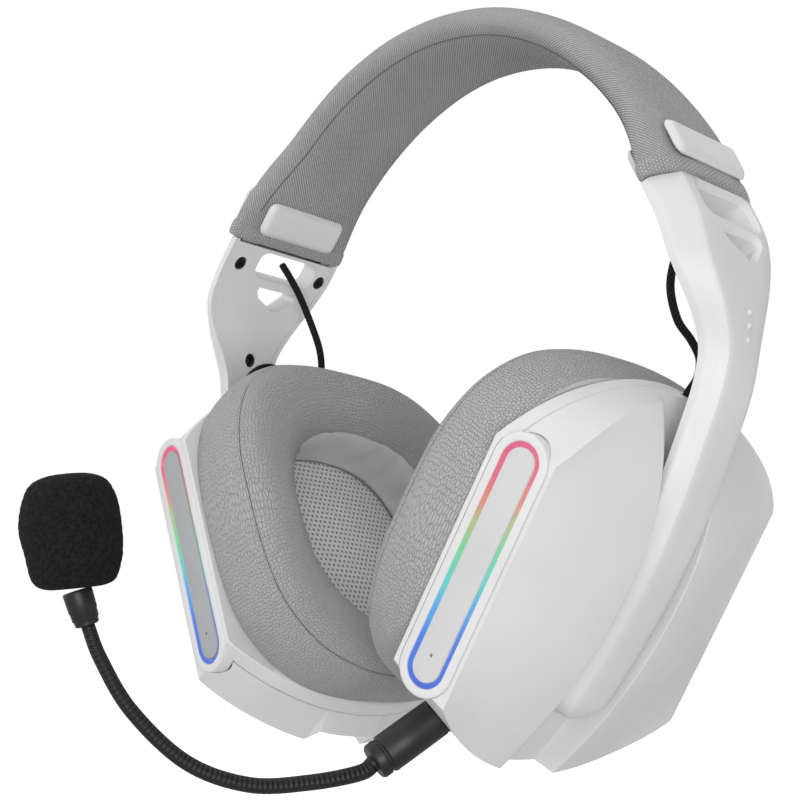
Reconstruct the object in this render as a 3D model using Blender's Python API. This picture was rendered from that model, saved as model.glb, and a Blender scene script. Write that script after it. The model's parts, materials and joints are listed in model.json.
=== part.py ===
"""Over-ear gaming headset with a boom microphone, built as separate pieces.

All lengths in this script are millimetres; mesh data is turned into metres when an object is made.
X points to the wearer's left, -Y is the wearer's front and Z is up.  The origin is the middle of
the headband's underside, where the band rests on the head.
"""
import math

import bmesh
import bpy
from mathutils import Matrix, Vector

MM = 0.001
GAP = 0.3                      # clearance between neighbouring pieces

# Headband
BAND_HALF_SPAN = 95.6          # half width of the band's curve
BAND_RISE = 143.0              # height of the curve's quarter, from its widest place to its crown
BAND_SQUARENESS = 2.05         # 2 is an ellipse
BAND_WIDTH = 38.0
BAND_END_WIDTH = 45.0
BAND_END_SHIFT = -3.0          # the ends sit a little further forward than the crown
BAND_THICKNESS = 11.2
SLEEVE_WALL = 1.2
SLEEVE_END = 51.4              # degrees from the crown
SLEEVE_FLARE_START = 35.0
PLATE_DEGREES = 47.3            # where the retainer plates sit

# Arms
ARM_WALL = 1.6
COVER_THICKNESS = 1.1
ARM_BEAM_FRONT = -12.0
ARM_BEAM_REAR = 5.5
ARM_TOP_FRONT = -24.0
ARM_TOP_REAR = 18.0
SLIDER_WIDTH = 26.0
SLIDER_THICKNESS = 1.4
SLIDER_LEVEL = -1.5            # height of the slider at the sleeve's end, from the band's middle curve
SLIDER_INSIDE = 30.0           # length of slider inside the headband

# Ear cups, in their own frame: n outward, v rearward, w up
CUP_CENTRE = Vector((50.4, 0.0, -142.4))
CUP_TILT = math.radians(26.0)
CUP_FRONT = -46.5              # where the outer face meets the front and rear sides
CUP_PEAK = 19.2                # crown of the outer face
CUP_SIDE_HEIGHT = 8.2          # height of the outer face at its front and rear edges
TOP_RADIUS = 60.5
BOTTOM_RADIUS = 70.0
TOP_EDGE = 50.5
BOTTOM_EDGE = -51.5
RIM_BOTTOM_EDGE = -46.0
RIM_FRONT = -50.0
RIM_LEVEL = -9.0
PARTING_LEVEL = -4.5
SHELL_WALL = 1.8
CHANNEL_FRONT = -13.2
CHANNEL_REAR = 6.7
FACET_LEAN = math.radians(9.5) # the side facets turn towards the back of the outer face

# Light bar on the front facet
LIGHT_CENTRE = Vector((-0.2, -48.3, -1.0))
LIGHT_HALF_LENGTH = 26.3       # half the distance between the end circles' centres
LIGHT_RADIUS = 5.1
LIGHT_STRIP = 1.5
BEZEL_BORDER = 3.2

# Cup pivot
PIVOT_N = 11.0
PIVOT_W = -24.0
KNUCKLE_RADIUS = 2.6
PIN_RADIUS = 1.2
KNUCKLE_LENGTH = 7.0

# Ear cushion
CUSHION_FACE = -31.0
OPENING_V = 29.0
OPENING_W = 28.0

CABLE_DIAMETER = 2.1
NECK_DIAMETER = 3.8

LEFT = 1
RIGHT = -1

BLACK = (0.02, 0.02, 0.022)
WHITE = (0.78, 0.79, 0.80)
GREY_CLOTH = (0.36, 0.365, 0.37)
STEEL = (0.55, 0.56, 0.57)
BOARD_GREEN = (0.03, 0.18, 0.08)


# ---------------------------------------------------------------- mesh helpers

def clear_scene():
    for old in list(bpy.data.objects):
        bpy.data.objects.remove(old, do_unlink=True)


def make_material(name, colour, roughness, metallic):
    material = bpy.data.materials.new(name)
    material.use_nodes = True
    shader = material.node_tree.nodes["Principled BSDF"]
    shader.inputs["Base Color"].default_value = (*colour, 1.0)
    shader.inputs["Roughness"].default_value = roughness
    shader.inputs["Metallic"].default_value = metallic
    material.diffuse_color = (*colour, 1.0)
    return material


def closed_mesh(points, faces):
    """A bmesh from points and faces, with every face turned outward."""
    mesh = bmesh.new()
    corners = [mesh.verts.new(point) for point in points]
    for face in faces:
        mesh.faces.new([corners[index] for index in face])
    bmesh.ops.recalc_face_normals(mesh, faces=mesh.faces)
    return mesh


def loft(rings, closed_path=False):
    """Skin between rings of equal length; open paths get flat caps."""
    count = len(rings[0])
    points = [point for ring in rings for point in ring]
    faces = []
    last = len(rings) if closed_path else len(rings) - 1
    for row in range(last):
        low = row * count
        high = (row + 1) % len(rings) * count
        for column in range(count):
            step = (column + 1) % count
            faces.append((low + column, low + step, high + step, high + column))
    if not closed_path:
        faces.append(tuple(range(count)))
        faces.append(tuple(range(len(points) - count, len(points))))
    return closed_mesh(points, faces)


def tube_shell(outer, inner):
    """A hollow skin open at both ends, from matching outer and inner rings."""
    return loft_loops([o + i[::-1] for o, i in zip(outer, inner)])


def loft_loops(rings):
    """Skin between rings that each hold an outer loop followed by a reversed inner loop."""
    count = len(rings[0])
    half = count // 2
    points = [point for ring in rings for point in ring]
    faces = []
    for row in range(len(rings) - 1):
        low = row * count
        high = low + count
        for start in (0, half):
            for column in range(half):
                step = (column + 1) % half
                a = start + column
                b = start + step
                faces.append((low + a, low + b, high + b, high + a))
    for low in (0, len(points) - count):
        for column in range(half):
            step = (column + 1) % half
            a = low + column
            b = low + step
            c = low + count - 1 - column
            d = low + count - 1 - step
            faces.append((a, b, d, c))
    return closed_mesh(points, faces)


def frame(origin, x_axis, z_axis):
    """A right-handed frame whose Z is z_axis and whose X is as near x_axis as it can be."""
    z_axis = Vector(z_axis).normalized()
    y_axis = z_axis.cross(Vector(x_axis)).normalized()
    x_axis = y_axis.cross(z_axis)
    matrix = Matrix((x_axis, y_axis, z_axis)).transposed().to_4x4()
    matrix.translation = Vector(origin)
    return matrix


def prism(outline, low, high, place):
    """An outline in the frame's XY plane, extruded from low to high along its Z."""
    rings = [[place @ Vector((x, y, level)) for x, y in outline] for level in (low, high)]
    return loft(rings)


def turned(profile, place, sides=24):
    """A solid of revolution about the frame's Z; profile is (radius, height), bottom to top."""
    rings = []
    for radius, height in profile:
        ring = []
        for index in range(sides):
            angle = 2 * math.pi * index / sides
            ring.append(place @ Vector((radius * math.cos(angle), radius * math.sin(angle), height)))
        rings.append(ring)
    return loft(rings)


def turned_ring(profile, place, sides=24):
    """A ring of revolution about the frame's Z; profile is a closed (radius, height) loop."""
    rings = []
    for index in range(sides):
        angle = 2 * math.pi * index / sides
        cosine, sine = math.cos(angle), math.sin(angle)
        rings.append([place @ Vector((r * cosine, r * sine, h)) for r, h in profile])
    return loft(rings, closed_path=True)


def rounded_rectangle(width, height, radius, steps=3):
    points = []
    for quarter, (sx, sy) in enumerate(((1, 1), (-1, 1), (-1, -1), (1, -1))):
        for step in range(steps + 1):
            angle = math.radians(90 * (quarter + step / steps))
            x = sx * (width / 2 - radius) + radius * math.cos(angle)
            y = sy * (height / 2 - radius) + radius * math.sin(angle)
            points.append((x, y))
    return points


def stadium(radius, half_length, steps=8):
    """A long rounded outline along Y."""
    points = []
    for side in (1, -1):
        for step in range(steps + 1):
            angle = math.pi * step / steps + (0 if side == 1 else math.pi)
            points.append((radius * math.cos(angle), side * half_length + radius * math.sin(angle)))
    return points


def box_outline(x0, x1, y0, y1):
    return [(x0, y0), (x1, y0), (x1, y1), (x0, y1)]


def smoothstep(value):
    value = min(max(value, 0.0), 1.0)
    return value * value * (3 - 2 * value)


def blend(start, end, amount):
    return start + (end - start) * amount


def smooth_path(points, steps):
    """A Catmull-Rom curve through the points, with the given number of steps per span."""
    points = [Vector(point) for point in points]
    padded = [2 * points[0] - points[1]] + points + [2 * points[-1] - points[-2]]
    path = []
    for p0, p1, p2, p3 in zip(padded, padded[1:], padded[2:], padded[3:]):
        for step in range(steps):
            t = step / steps
            a = 2 * p1
            b = (p2 - p0) * t
            c = (2 * p0 - 5 * p1 + 4 * p2 - p3) * t * t
            d = (3 * p1 - p0 - 3 * p2 + p3) * t ** 3
            path.append((a + b + c + d) / 2)
    path.append(points[-1])
    return path


# ---------------------------------------------------------------- bodies and pieces

class Headset:
    """Keeps the empties that stand for the moving bodies and makes the pieces on them."""

    def __init__(self):
        self.places = {}
        self.empties = {}

    def add_body(self, name, origin, parent=None):
        empty = bpy.data.objects.new("frame_" + name, None)
        empty.empty_display_size = 10 * MM
        bpy.context.scene.collection.objects.link(empty)
        origin = Vector(origin)
        if parent:
            empty.parent = self.empties[parent]
            empty.location = (origin - self.places[parent]) * MM
        else:
            empty.location = origin * MM
        self.places[name] = origin
        self.empties[name] = empty

    def add_piece(self, name, body, solid, colour, roughness=0.5, metallic=0.0, side=LEFT):
        """Make one named piece; a solid for the right side is designed on the left and mirrored."""
        if side == RIGHT:
            bmesh.ops.transform(solid, matrix=Matrix.Scale(-1, 4, (1, 0, 0)), verts=solid.verts)
            bmesh.ops.reverse_faces(solid, faces=solid.faces)
        shift = Matrix.Translation(-self.places[body])
        bmesh.ops.transform(solid, matrix=Matrix.Scale(MM, 4) @ shift, verts=solid.verts)
        piece = new_object(name, solid)
        piece.parent = self.empties[body]
        piece.data.materials.append(make_material(name, colour, roughness, metallic))
        piece.data.shade_smooth()
        piece.data.set_sharp_from_angle(angle=math.radians(35))
        return piece

    def add_pair(self, name, body, solid, colour, roughness=0.5, metallic=0.0):
        """Make a piece on the left and its mirror image on the right; body None is the headband."""
        twin = solid.copy()
        left_body = "left_" + body if body else "headband"
        right_body = "right_" + body if body else "headband"
        self.add_piece("left_" + name, left_body, solid, colour, roughness, metallic)
        self.add_piece("right_" + name, right_body, twin, colour, roughness, metallic, side=RIGHT)


def new_object(name, solid):
    data = bpy.data.meshes.new(name)
    solid.to_mesh(data)
    solid.free()
    made = bpy.data.objects.new(name, data)
    bpy.context.scene.collection.objects.link(made)
    return made


def carve(solid, *cutters):
    """Take cutters away from a solid, one after another."""
    for cutter in cutters:
        piece = new_object("piece", solid)
        tool = new_object("tool", cutter)
        modifier = piece.modifiers.new("cut", "BOOLEAN")
        modifier.operation = "DIFFERENCE"
        modifier.solver = "EXACT"
        modifier.object = tool
        evaluated = piece.evaluated_get(bpy.context.evaluated_depsgraph_get())
        solid = bmesh.new()
        solid.from_mesh(evaluated.to_mesh())
        bpy.data.objects.remove(piece, do_unlink=True)
        bpy.data.objects.remove(tool, do_unlink=True)
    return solid


# ---------------------------------------------------------------- headband

def band_curve(degrees):
    """Point on the band's middle curve and its outward normal, in the XZ plane."""
    def place(angle):
        sine, cosine = math.sin(angle), math.cos(angle)
        power = 2 / BAND_SQUARENESS
        x = BAND_HALF_SPAN * math.copysign(abs(sine) ** power, sine)
        z = BAND_THICKNESS / 2 - BAND_RISE + BAND_RISE * abs(cosine) ** power
        return Vector((x, 0, z))
    angle = math.radians(degrees)
    point = place(angle)
    tangent = (place(angle + 0.001) - place(angle - 0.001)).normalized()
    return point, Vector((-tangent.z, 0, tangent.x)), tangent


def band_point(degrees, y, offset):
    point, normal, _ = band_curve(degrees)
    return point + normal * offset + Vector((0, y, 0))


def band_width_at(degrees):
    flare = smoothstep((abs(degrees) - SLEEVE_FLARE_START) / (SLEEVE_END - SLEEVE_FLARE_START))
    return blend(BAND_WIDTH, BAND_END_WIDTH, flare), BAND_END_SHIFT * flare


def band_section(degrees, inset):
    """The sleeve's rounded cross-section, inset by a wall."""
    width, shift = band_width_at(degrees)
    radius = BAND_THICKNESS / 2 - inset
    reach = width / 2 - inset - radius
    ring = []
    for side in (1, -1):
        for step in range(5):
            angle = math.radians(45 * step - 90 * side)
            ring.append(band_point(degrees, shift + side * reach + radius * math.cos(angle),
                                   radius * math.sin(angle)))
    return ring


def band_strip(start, end, front, rear, low, high, segments):
    """A curved bar along the band between two angles, given its section's edges."""
    rings = []
    for index in range(segments + 1):
        degrees = blend(start, end, index / segments)
        _, shift = band_width_at(degrees)
        rings.append([band_point(degrees, shift + y, offset)
                      for y, offset in ((front, low), (rear, low), (rear, high), (front, high))])
    return loft(rings)


def build_headband(headset):
    segments = 26
    angles = [blend(-SLEEVE_END, SLEEVE_END, index / segments) for index in range(segments + 1)]
    sleeve = tube_shell([band_section(angle, 0.0) for angle in angles],
                        [band_section(angle, SLEEVE_WALL) for angle in angles])
    headset.add_piece("headband_sleeve", "headband", sleeve, GREY_CLOTH, 0.9)

    inside = BAND_THICKNESS / 2 - SLEEVE_WALL - GAP
    foam = band_strip(-34, 34, -13.5, 13.5, -inside, 0.4, 20)
    headset.add_piece("headband_foam", "headband", foam, (0.06, 0.06, 0.06), 0.95)
    spring = band_strip(-47, 47, -10.0, 10.0, 2.9, 3.7, 24)
    headset.add_piece("headband_spring", "headband", spring, STEEL, 0.3, 1.0)

    housing = band_strip(37, SLEEVE_END - 0.6, -15.5, 15.5, 0.6 - inside, 2.4, 8)
    slot_width = SLIDER_WIDTH + 2 * GAP
    slot_thickness = SLIDER_THICKNESS + 2 * GAP
    slot = prism(box_outline(BAND_END_SHIFT - slot_width / 2, BAND_END_SHIFT + slot_width / 2,
                             SLIDER_LEVEL - slot_thickness / 2, SLIDER_LEVEL + slot_thickness / 2),
                 -60.0, 5.0, hem_frame())
    headset.add_pair("end_frame", None, carve(housing, slot), BLACK, 0.5)

    for name, side in (("plate_outer", 1), ("plate_inner", -1)):
        place = plate_frame(side)
        outline = rounded_rectangle(30.0, 10.5, 2.6)
        rings = []
        for level, inset in ((0.0, 0.0), (1.3, 0.0), (1.8, 0.6)):
            scale_x, scale_y = 1 - inset / 15.0, 1 - inset / 5.25
            rings.append([place @ Vector((x * scale_x, y * scale_y, level)) for x, y in outline])
        headset.add_pair(name, None, loft(rings), WHITE, 0.45)


def plate_frame(side):
    """The retainer plates' frame: Z away from the sleeve, X along the band's width."""
    point, normal, _ = band_curve(PLATE_DEGREES)
    surface = BAND_THICKNESS / 2 + 0.45
    origin = point + normal * side * surface + Vector((0, -4.0, 0))
    return frame(origin, (0, 1, 0), normal * side)


def hem_frame():
    """Frame at the sleeve's end: X rearward, Y outward, Z the way the arm slides out."""
    point, normal, tangent = band_curve(SLEEVE_END)
    matrix = Matrix((Vector((0, 1, 0)), normal, tangent)).transposed().to_4x4()
    matrix.translation = point
    return matrix


# ---------------------------------------------------------------- arms

def make_arm_path():
    """The arm's middle curve from the sleeve's end to the arm's lower end, with its lengths."""
    start, _, _ = band_curve(SLEEVE_END)
    below_crown = [(82.0, 83.0), (87.4, 66.0), (87.5, 48.0), (83.0, 32.0), (76.0, 13.0),
                   (67.5, -4.5), (57.5, -21.0), (47.7, -35.3)]
    points = [start] + [Vector((x, 0, CUP_CENTRE.z + z)) for x, z in below_crown]
    path = smooth_path(points, 8)
    lengths = [0.0]
    for a, b in zip(path, path[1:]):
        lengths.append(lengths[-1] + (b - a).length)
    return path, lengths


ARM_PATH, ARM_LENGTHS = make_arm_path()
ARM_LENGTH = ARM_LENGTHS[-1]


def arm_curve(distance):
    """Point, outward normal and downward tangent at a distance along the arm's path."""
    index = 0
    while index < len(ARM_PATH) - 2 and ARM_LENGTHS[index + 1] < distance:
        index += 1
    span = ARM_LENGTHS[index + 1] - ARM_LENGTHS[index]
    part = (distance - ARM_LENGTHS[index]) / span
    point = ARM_PATH[index].lerp(ARM_PATH[index + 1], part)
    before = ARM_PATH[max(index - 1, 0)]
    after = ARM_PATH[min(index + 2, len(ARM_PATH) - 1)]
    tangent = (after - before).normalized()
    return point, Vector((-tangent.z, 0, tangent.x)), tangent


def arm_point(distance, y, offset):
    point, normal, _ = arm_curve(distance)
    return point + normal * offset + Vector((0, y, 0))


def arm_frame(distance, y):
    """X rearward, Y down the arm and Z inward, the way a screw's head faces."""
    point, normal, tangent = arm_curve(distance)
    matrix = Matrix((Vector((0, 1, 0)), tangent, -normal)).transposed().to_4x4()
    matrix.translation = point + Vector((0, y, 0))
    return matrix


def arm_edges(distance):
    """Front edge, rear edge, outer level and inner level of the arm."""
    front = blend(ARM_TOP_FRONT, ARM_BEAM_FRONT, smoothstep((distance - 18) / 28))
    rear = blend(ARM_TOP_REAR, ARM_BEAM_REAR, smoothstep((distance - 5) / 38))
    outer = blend(4.0, 1.5, smoothstep((distance - 15) / 45))
    inner = outer - blend(8.0, 6.8, smoothstep((distance - 15) / 45))
    tip = max(0.0, (distance - ARM_LENGTH + 7.0) / 7.0)
    middle = (front + rear) / 2
    narrowing = math.sqrt(max(1 - 0.9 * tip * tip, 0))
    front = middle + (front - middle) * narrowing
    rear = middle + (rear - middle) * narrowing
    return front, rear, outer - 3.0 * tip * tip, inner


def arm_stations(start, end, step):
    count = round((end - start) / step)
    return [blend(start, end, index / count) for index in range(count + 1)]


def arm_body():
    rings = []
    stations = arm_stations(0.4, ARM_LENGTH - 7, 6.0) + arm_stations(ARM_LENGTH - 4.5, ARM_LENGTH, 1.5)
    for distance in stations:
        front, rear, outer, inner = arm_edges(distance)
        ring = [arm_point(distance, rear, inner), arm_point(distance, front, inner)]
        for part in (0.0, 0.12, 0.35, 0.65, 0.88, 1.0):
            drop = 2.4 * abs(2 * part - 1) ** 5
            ring.append(arm_point(distance, blend(front, rear, part), outer - drop))
        rings.append(ring)
    return loft(rings)


def arm_hollow():
    rings = []
    for distance in arm_stations(-2.0, ARM_LENGTH - 4.5, 6.0):
        front, rear, outer, inner = arm_edges(max(distance, 0.0))
        front += ARM_WALL
        rear -= ARM_WALL
        roof = outer - ARM_WALL - 0.3
        profile = [(front, inner - 1), (front, roof - 1.5), (front + 2.5, roof), (rear - 2.5, roof),
                   (rear, roof - 1.5), (rear, inner - 1)]
        rings.append([arm_point(distance, y, level) for y, level in profile])
    return loft(rings)


# Windows and screws, as (rearward, down the arm)
UPPER_WINDOW = rounded_rectangle(23.0, 8.4, 3.0)
UPPER_WINDOW_CENTRE = (-0.5, 5.9)
LOWER_WINDOW = [(-7.5, -3.0), (6.5, -3.2), (8.0, -1.5), (3.0, 2.9), (0.5, 3.3), (-6.8, 0.0)]
LOWER_WINDOW_CENTRE = (0.0, 16.4)
ARM_SCREWS = ((-18.0, 7.3), (14.2, 6.6), (-3.5, 37.0))


def window_prism(outline, centre, margin):
    """A window's outline grown by a margin, running through the whole arm."""
    width = max(x for x, _ in outline)
    height = max(y for _, y in outline)
    grown = [(x * (1 + margin / width), y * (1 + margin / height)) for x, y in outline]
    return prism(grown, -9.0, 9.0, arm_frame(centre[1], centre[0]))


def windows(margin):
    return [window_prism(UPPER_WINDOW, UPPER_WINDOW_CENTRE, margin),
            window_prism(LOWER_WINDOW, LOWER_WINDOW_CENTRE, margin)]


def cylinder(radius, low, high, place, sides=12):
    return turned([(radius, low), (radius, high)], place, sides)


def build_arms(headset):
    bosses = [cylinder(2.2, -12.0, 0.3, arm_frame(down, y)) for y, down in ARM_SCREWS]
    hollow = carve(arm_hollow(), *windows(1.1), *bosses)
    holes = [cylinder(1.0, -1.4, 4.0, arm_frame(down, y)) for y, down in ARM_SCREWS]
    shell = carve(arm_body(), hollow, *windows(0.0), *holes)
    headset.add_pair("arm_shell", "arm", shell, WHITE, 0.42)

    rings = []
    for distance in arm_stations(0.8, ARM_LENGTH - 10, 6.0):
        front, rear, _, inner = arm_edges(distance)
        front += ARM_WALL + GAP + 0.1
        rear -= ARM_WALL + GAP + 0.1
        top = inner + COVER_THICKNESS
        profile = ((front, inner), (rear, inner), (rear, top), (front, top))
        rings.append([arm_point(distance, y, level) for y, level in profile])
    pockets = [cylinder(1.1, -1.0, 8.0, arm_frame(down, y), 12) for y, down in ARM_SCREWS]
    opening = prism(box_outline(-4.2, 4.2, -4.0, 4.0), -6.0, 1.5, pivot_frame())
    cover = carve(loft(rings), *windows(1.1 + GAP), *pockets, opening)
    headset.add_pair("arm_cover", "arm", cover, WHITE, 0.42)

    for name, (y, down) in zip(("front", "rear", "lower"), ARM_SCREWS):
        _, _, _, inner = arm_edges(down)
        seat = 0.3 - inner
        profile = [(0.75, -1.0), (0.75, seat), (1.8, seat), (1.5, seat + 0.8)]
        shape = turned(profile, arm_frame(down, y), 14)
        headset.add_pair("arm_screw_" + name, "arm", shape, (0.03, 0.03, 0.03), 0.4, 0.6)

    half = SLIDER_WIDTH / 2
    outline = [(-half, -SLIDER_INSIDE), (half, -SLIDER_INSIDE), (half, -0.9), (18.6, 0.6), (18.6, 8.6),
               (15.4, 8.6), (15.4, 0.5), (-11.0, 0.5), (-11.0, 9.4), (-17.5, 9.4), (-17.5, 0.6),
               (-half, -0.9)]
    rings = []
    for level in (SLIDER_LEVEL - SLIDER_THICKNESS / 2, SLIDER_LEVEL + SLIDER_THICKNESS / 2):
        rings.append([hem_frame() @ Vector((x + BAND_END_SHIFT, level, down)) for x, down in outline])
    screw_holes = [cylinder(1.1, -4.0, 4.0, arm_frame(down, y)) for y, down in ARM_SCREWS[:2]]
    slider = carve(loft(rings), *screw_holes)
    headset.add_pair("arm_slider", "arm", slider, STEEL, 0.3, 1.0)

    reach = (ARM_BEAM_REAR - ARM_BEAM_FRONT) / 2 - ARM_WALL - 2 * GAP
    pin = cylinder(PIN_RADIUS, -reach, reach, pin_frame())
    headset.add_pair("pivot_pin", "arm", pin, STEEL, 0.25, 1.0)


# ---------------------------------------------------------------- ear cups

def cup_matrix():
    cosine, sine = math.cos(CUP_TILT), math.sin(CUP_TILT)
    axes = (Vector((cosine, 0, -sine)), Vector((0, 1, 0)), Vector((sine, 0, cosine)))
    matrix = Matrix(axes).transposed().to_4x4()
    matrix.translation = CUP_CENTRE
    return matrix


CUP = cup_matrix()


def on_cup(n, v, w):
    return CUP @ Vector((n, v, w))


def pivot_frame():
    """At the pivot pin: X rearward, Y up the cup, Z outward."""
    middle = (ARM_BEAM_FRONT + ARM_BEAM_REAR) / 2
    axes = Matrix(((0, 0, 1, PIVOT_N), (1, 0, 0, middle), (0, 1, 0, PIVOT_W), (0, 0, 0, 1)))
    return CUP @ axes


def pin_frame():
    """At the pivot pin, with Z along the pin."""
    middle = (ARM_BEAM_FRONT + ARM_BEAM_REAR) / 2
    axes = Matrix(((0, 1, 0, PIVOT_N), (0, 0, 1, middle), (1, 0, 0, PIVOT_W), (0, 0, 0, 1)))
    return CUP @ axes


def plan_frame(v=0.0, w=0.0):
    """In the cup's plane: X rearward, Y up the cup, Z outward."""
    return CUP @ Matrix(((0, 0, 1, 0), (1, 0, 0, v), (0, 1, 0, w), (0, 0, 0, 1)))


def front_facet():
    """On the light bar's facet: X towards the outer face, Y up the cup, Z off the facet."""
    cosine, sine = math.cos(FACET_LEAN), math.sin(FACET_LEAN)
    c = LIGHT_CENTRE
    return CUP @ Matrix(((cosine, 0, sine, c.x), (sine, 0, -cosine, c.y), (0, 1, 0, c.z), (0, 0, 0, 1)))


def rear_facet(n, w):
    """On the rear facet: X towards the outer face, Y down the cup, Z off the facet."""
    cosine, sine = math.cos(FACET_LEAN), math.sin(FACET_LEAN)
    v = -LIGHT_CENTRE.y - (n - LIGHT_CENTRE.x) * math.tan(FACET_LEAN)
    return CUP @ Matrix(((cosine, 0, sine, n), (-sine, 0, cosine, v), (0, -1, 0, w), (0, 0, 0, 1)))


def top_edge(v):
    return TOP_EDGE - TOP_RADIUS + math.sqrt(TOP_RADIUS ** 2 - v * v)


def bottom_edge(v):
    return BOTTOM_EDGE + BOTTOM_RADIUS - math.sqrt(BOTTOM_RADIUS ** 2 - v * v)


def face_height(v, w):
    """The crowned outer face, before the arm's channel is sunk into it."""
    along = 13.0 * ((w - 5) / 42) ** 2.3 if w > 5 else 12.0 * ((5 - w) / 56.5) ** 2
    across = (CUP_PEAK - CUP_SIDE_HEIGHT) * (v / CUP_FRONT) ** 2
    return CUP_PEAK - across - along * (1 - (v / CUP_FRONT) ** 4)


def channel_floor(w):
    """The channel falls away from the arm's beam towards both ends, which lets the cup tilt."""
    if w > -6:
        return 8.8 - 7.2 * ((w + 6) / 56) ** 2
    return 8.8 - 8.0 * ((w + 6) / 46) ** 2


def cup_height(v, w, wall):
    """Height of the shell's outer skin, or of its inner skin when there is a wall."""
    height = face_height(v, w)
    if CHANNEL_FRONT - wall < v < CHANNEL_REAR + wall:
        height = min(height, channel_floor(w))
    return height - wall


def cup_columns(wall):
    """Positions across the cup, with a close pair at each side of the channel."""
    edge = -CUP_FRONT - wall
    step = 0.2
    front, rear = CHANNEL_FRONT - wall, CHANNEL_REAR + wall
    outside = [-edge, -39, -29, -20, front - step]
    channel = [front + step, -3.3, rear - step]
    beyond = [rear + step, 14, 23, 31, 39, edge]
    return outside + channel + beyond


def rim_point(v, w, level):
    """Where the side wall from a point on the outer face's edge meets a level nearer the head."""
    down = (CUP_SIDE_HEIGHT - level) / (CUP_SIDE_HEIGHT - RIM_LEVEL)
    stretch = blend(1.0, RIM_FRONT / CUP_FRONT, down)
    bottom = blend(1.0, RIM_BOTTOM_EDGE / BOTTOM_EDGE, down)
    return v * stretch, w if w > 0 else w * bottom


def grid_skin(wall, rows):
    """A grid over the outer or inner face: rows of (v, w, n) points for each column."""
    columns = []
    for v in cup_columns(wall):
        low, high = bottom_edge(v) + wall, top_edge(v) - wall
        column = []
        for row in range(rows + 1):
            w = blend(low, high, row / rows)
            column.append((v, w, cup_height(v, w, wall)))
        columns.append(column)
    return columns


def grid_border(columns):
    """Index pairs round a grid's edge."""
    last_column, last_row = len(columns) - 1, len(columns[0]) - 1
    border = [(0, row) for row in range(last_row)]
    border += [(column, last_row) for column in range(last_column)]
    border += [(last_column, row) for row in range(last_row, 0, -1)]
    border += [(column, 0) for column in range(last_column, 0, -1)]
    return border


def cup_shell():
    """The hollow outer shell, open on the head's side at the parting level."""
    points, faces, loops = [], [], []
    for wall in (0.0, SHELL_WALL):
        columns = grid_skin(wall, 9)
        start = len(points)
        height = len(columns[0])
        for column in columns:
            points += [on_cup(n, v, w) for v, w, n in column]
        for column in range(len(columns) - 1):
            for row in range(height - 1):
                a = start + column * height + row
                faces.append((a, a + 1, a + height + 1, a + height))
        border = grid_border(columns)
        face_loop = [start + column * height + row for column, row in border]
        rim_loop = []
        for column, row in border:
            v, w, _ = columns[column][row]
            v, w = rim_point(v, w, PARTING_LEVEL)
            rim_loop.append(len(points))
            points.append(on_cup(PARTING_LEVEL, v, w))
        loops.append((face_loop, rim_loop))
    (outer_face, outer_rim), (inner_face, inner_rim) = loops
    for first, second in ((outer_face, outer_rim), (outer_rim, inner_rim), (inner_rim, inner_face)):
        for a, b, c, d in zip(first, first[1:] + first[:1], second[1:] + second[:1], second):
            faces.append((a, b, c, d))
    return closed_mesh(points, faces)


def rim_outline(level, inset):
    """The cup's outline at a level, moved in by an inset."""
    columns = [-46.5, -42, -34, -25, -15, -5, 5, 15, 25, 34, 42, 46.5]
    outline = [(v, top_edge(v)) for v in columns] + [(v, bottom_edge(v)) for v in reversed(columns)]
    placed = []
    for v, w in outline:
        v, w = rim_point(v, w, level)
        scale_v, scale_w = 1 - inset / 50.0, 1 - inset / 49.0
        placed.append((v * scale_v, w * scale_w))
    return placed


def rim_block(low, high, inset):
    rings = []
    for level in (low, high):
        rings.append([on_cup(level, v, w) for v, w in rim_outline(level, inset)])
    return loft(rings)


def light_notch():
    return prism(stadium(LIGHT_RADIUS + BEZEL_BORDER + GAP, LIGHT_HALF_LENGTH), -5.2, 4.0, front_facet())


def stadium_ring(outer, inner, low, high):
    rings = []
    for radius, level in ((outer, low), (outer, high), (inner, high), (inner, low)):
        rings.append([front_facet() @ Vector((x, y, level)) for x, y in stadium(radius, LIGHT_HALF_LENGTH)])
    return loft(rings, closed_path=True)


def opening_outline(inset):
    points = []
    for index in range(32):
        angle = 2 * math.pi * index / 32
        points.append((superellipse(angle, OPENING_V - inset, OPENING_W - inset, 2.4)))
    return [(v - 1.0, w - 0.5) for v, w in points]


def superellipse(angle, half_v, half_w, exponent):
    cosine, sine = math.cos(angle), math.sin(angle)
    power = 2 / exponent
    return (half_v * math.copysign(abs(cosine) ** power, cosine),
            half_w * math.copysign(abs(sine) ** power, sine))


def ear_cushion():
    """A soft ring: its section runs from the opening (0) to the outer side (1)."""
    section = [(0.97, -9.4), (1.02, -16.0), (1.02, -22.5), (0.95, -27.5), (0.80, -30.3),
               (0.66, CUSHION_FACE), (0.42, CUSHION_FACE), (0.20, -29.6), (0.03, -26.0), (0.0, -19.0),
               (0.06, -9.4)]
    rings = []
    for index in range(32):
        angle = 2 * math.pi * index / 32
        outer_v, outer_w = superellipse(angle, 50.0, 48.5, 2.8)
        inner_v, inner_w = superellipse(angle, OPENING_V, OPENING_W, 2.4)
        ring = []
        for part, level in section:
            v = blend(inner_v - 1.0, outer_v, part)
            w = blend(inner_w - 0.5, outer_w + 2.5, part)
            ring.append(on_cup(level, v, w))
        rings.append(ring)
    return loft(rings, closed_path=True)


def mic_frame():
    """On the cup's lower front edge, with Z along the plug as it pulls out."""
    return frame(on_cup(-1.2, -35.2, -40.9), CUP.to_3x3() @ Vector((1, 0, 0)),
                 CUP.to_3x3() @ Vector((-0.08, -0.676, -0.736)))


def cable_hole(v):
    return cylinder(CABLE_DIAMETER / 2 + 0.5, -6.0, 4.0, cable_entry(v))


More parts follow.
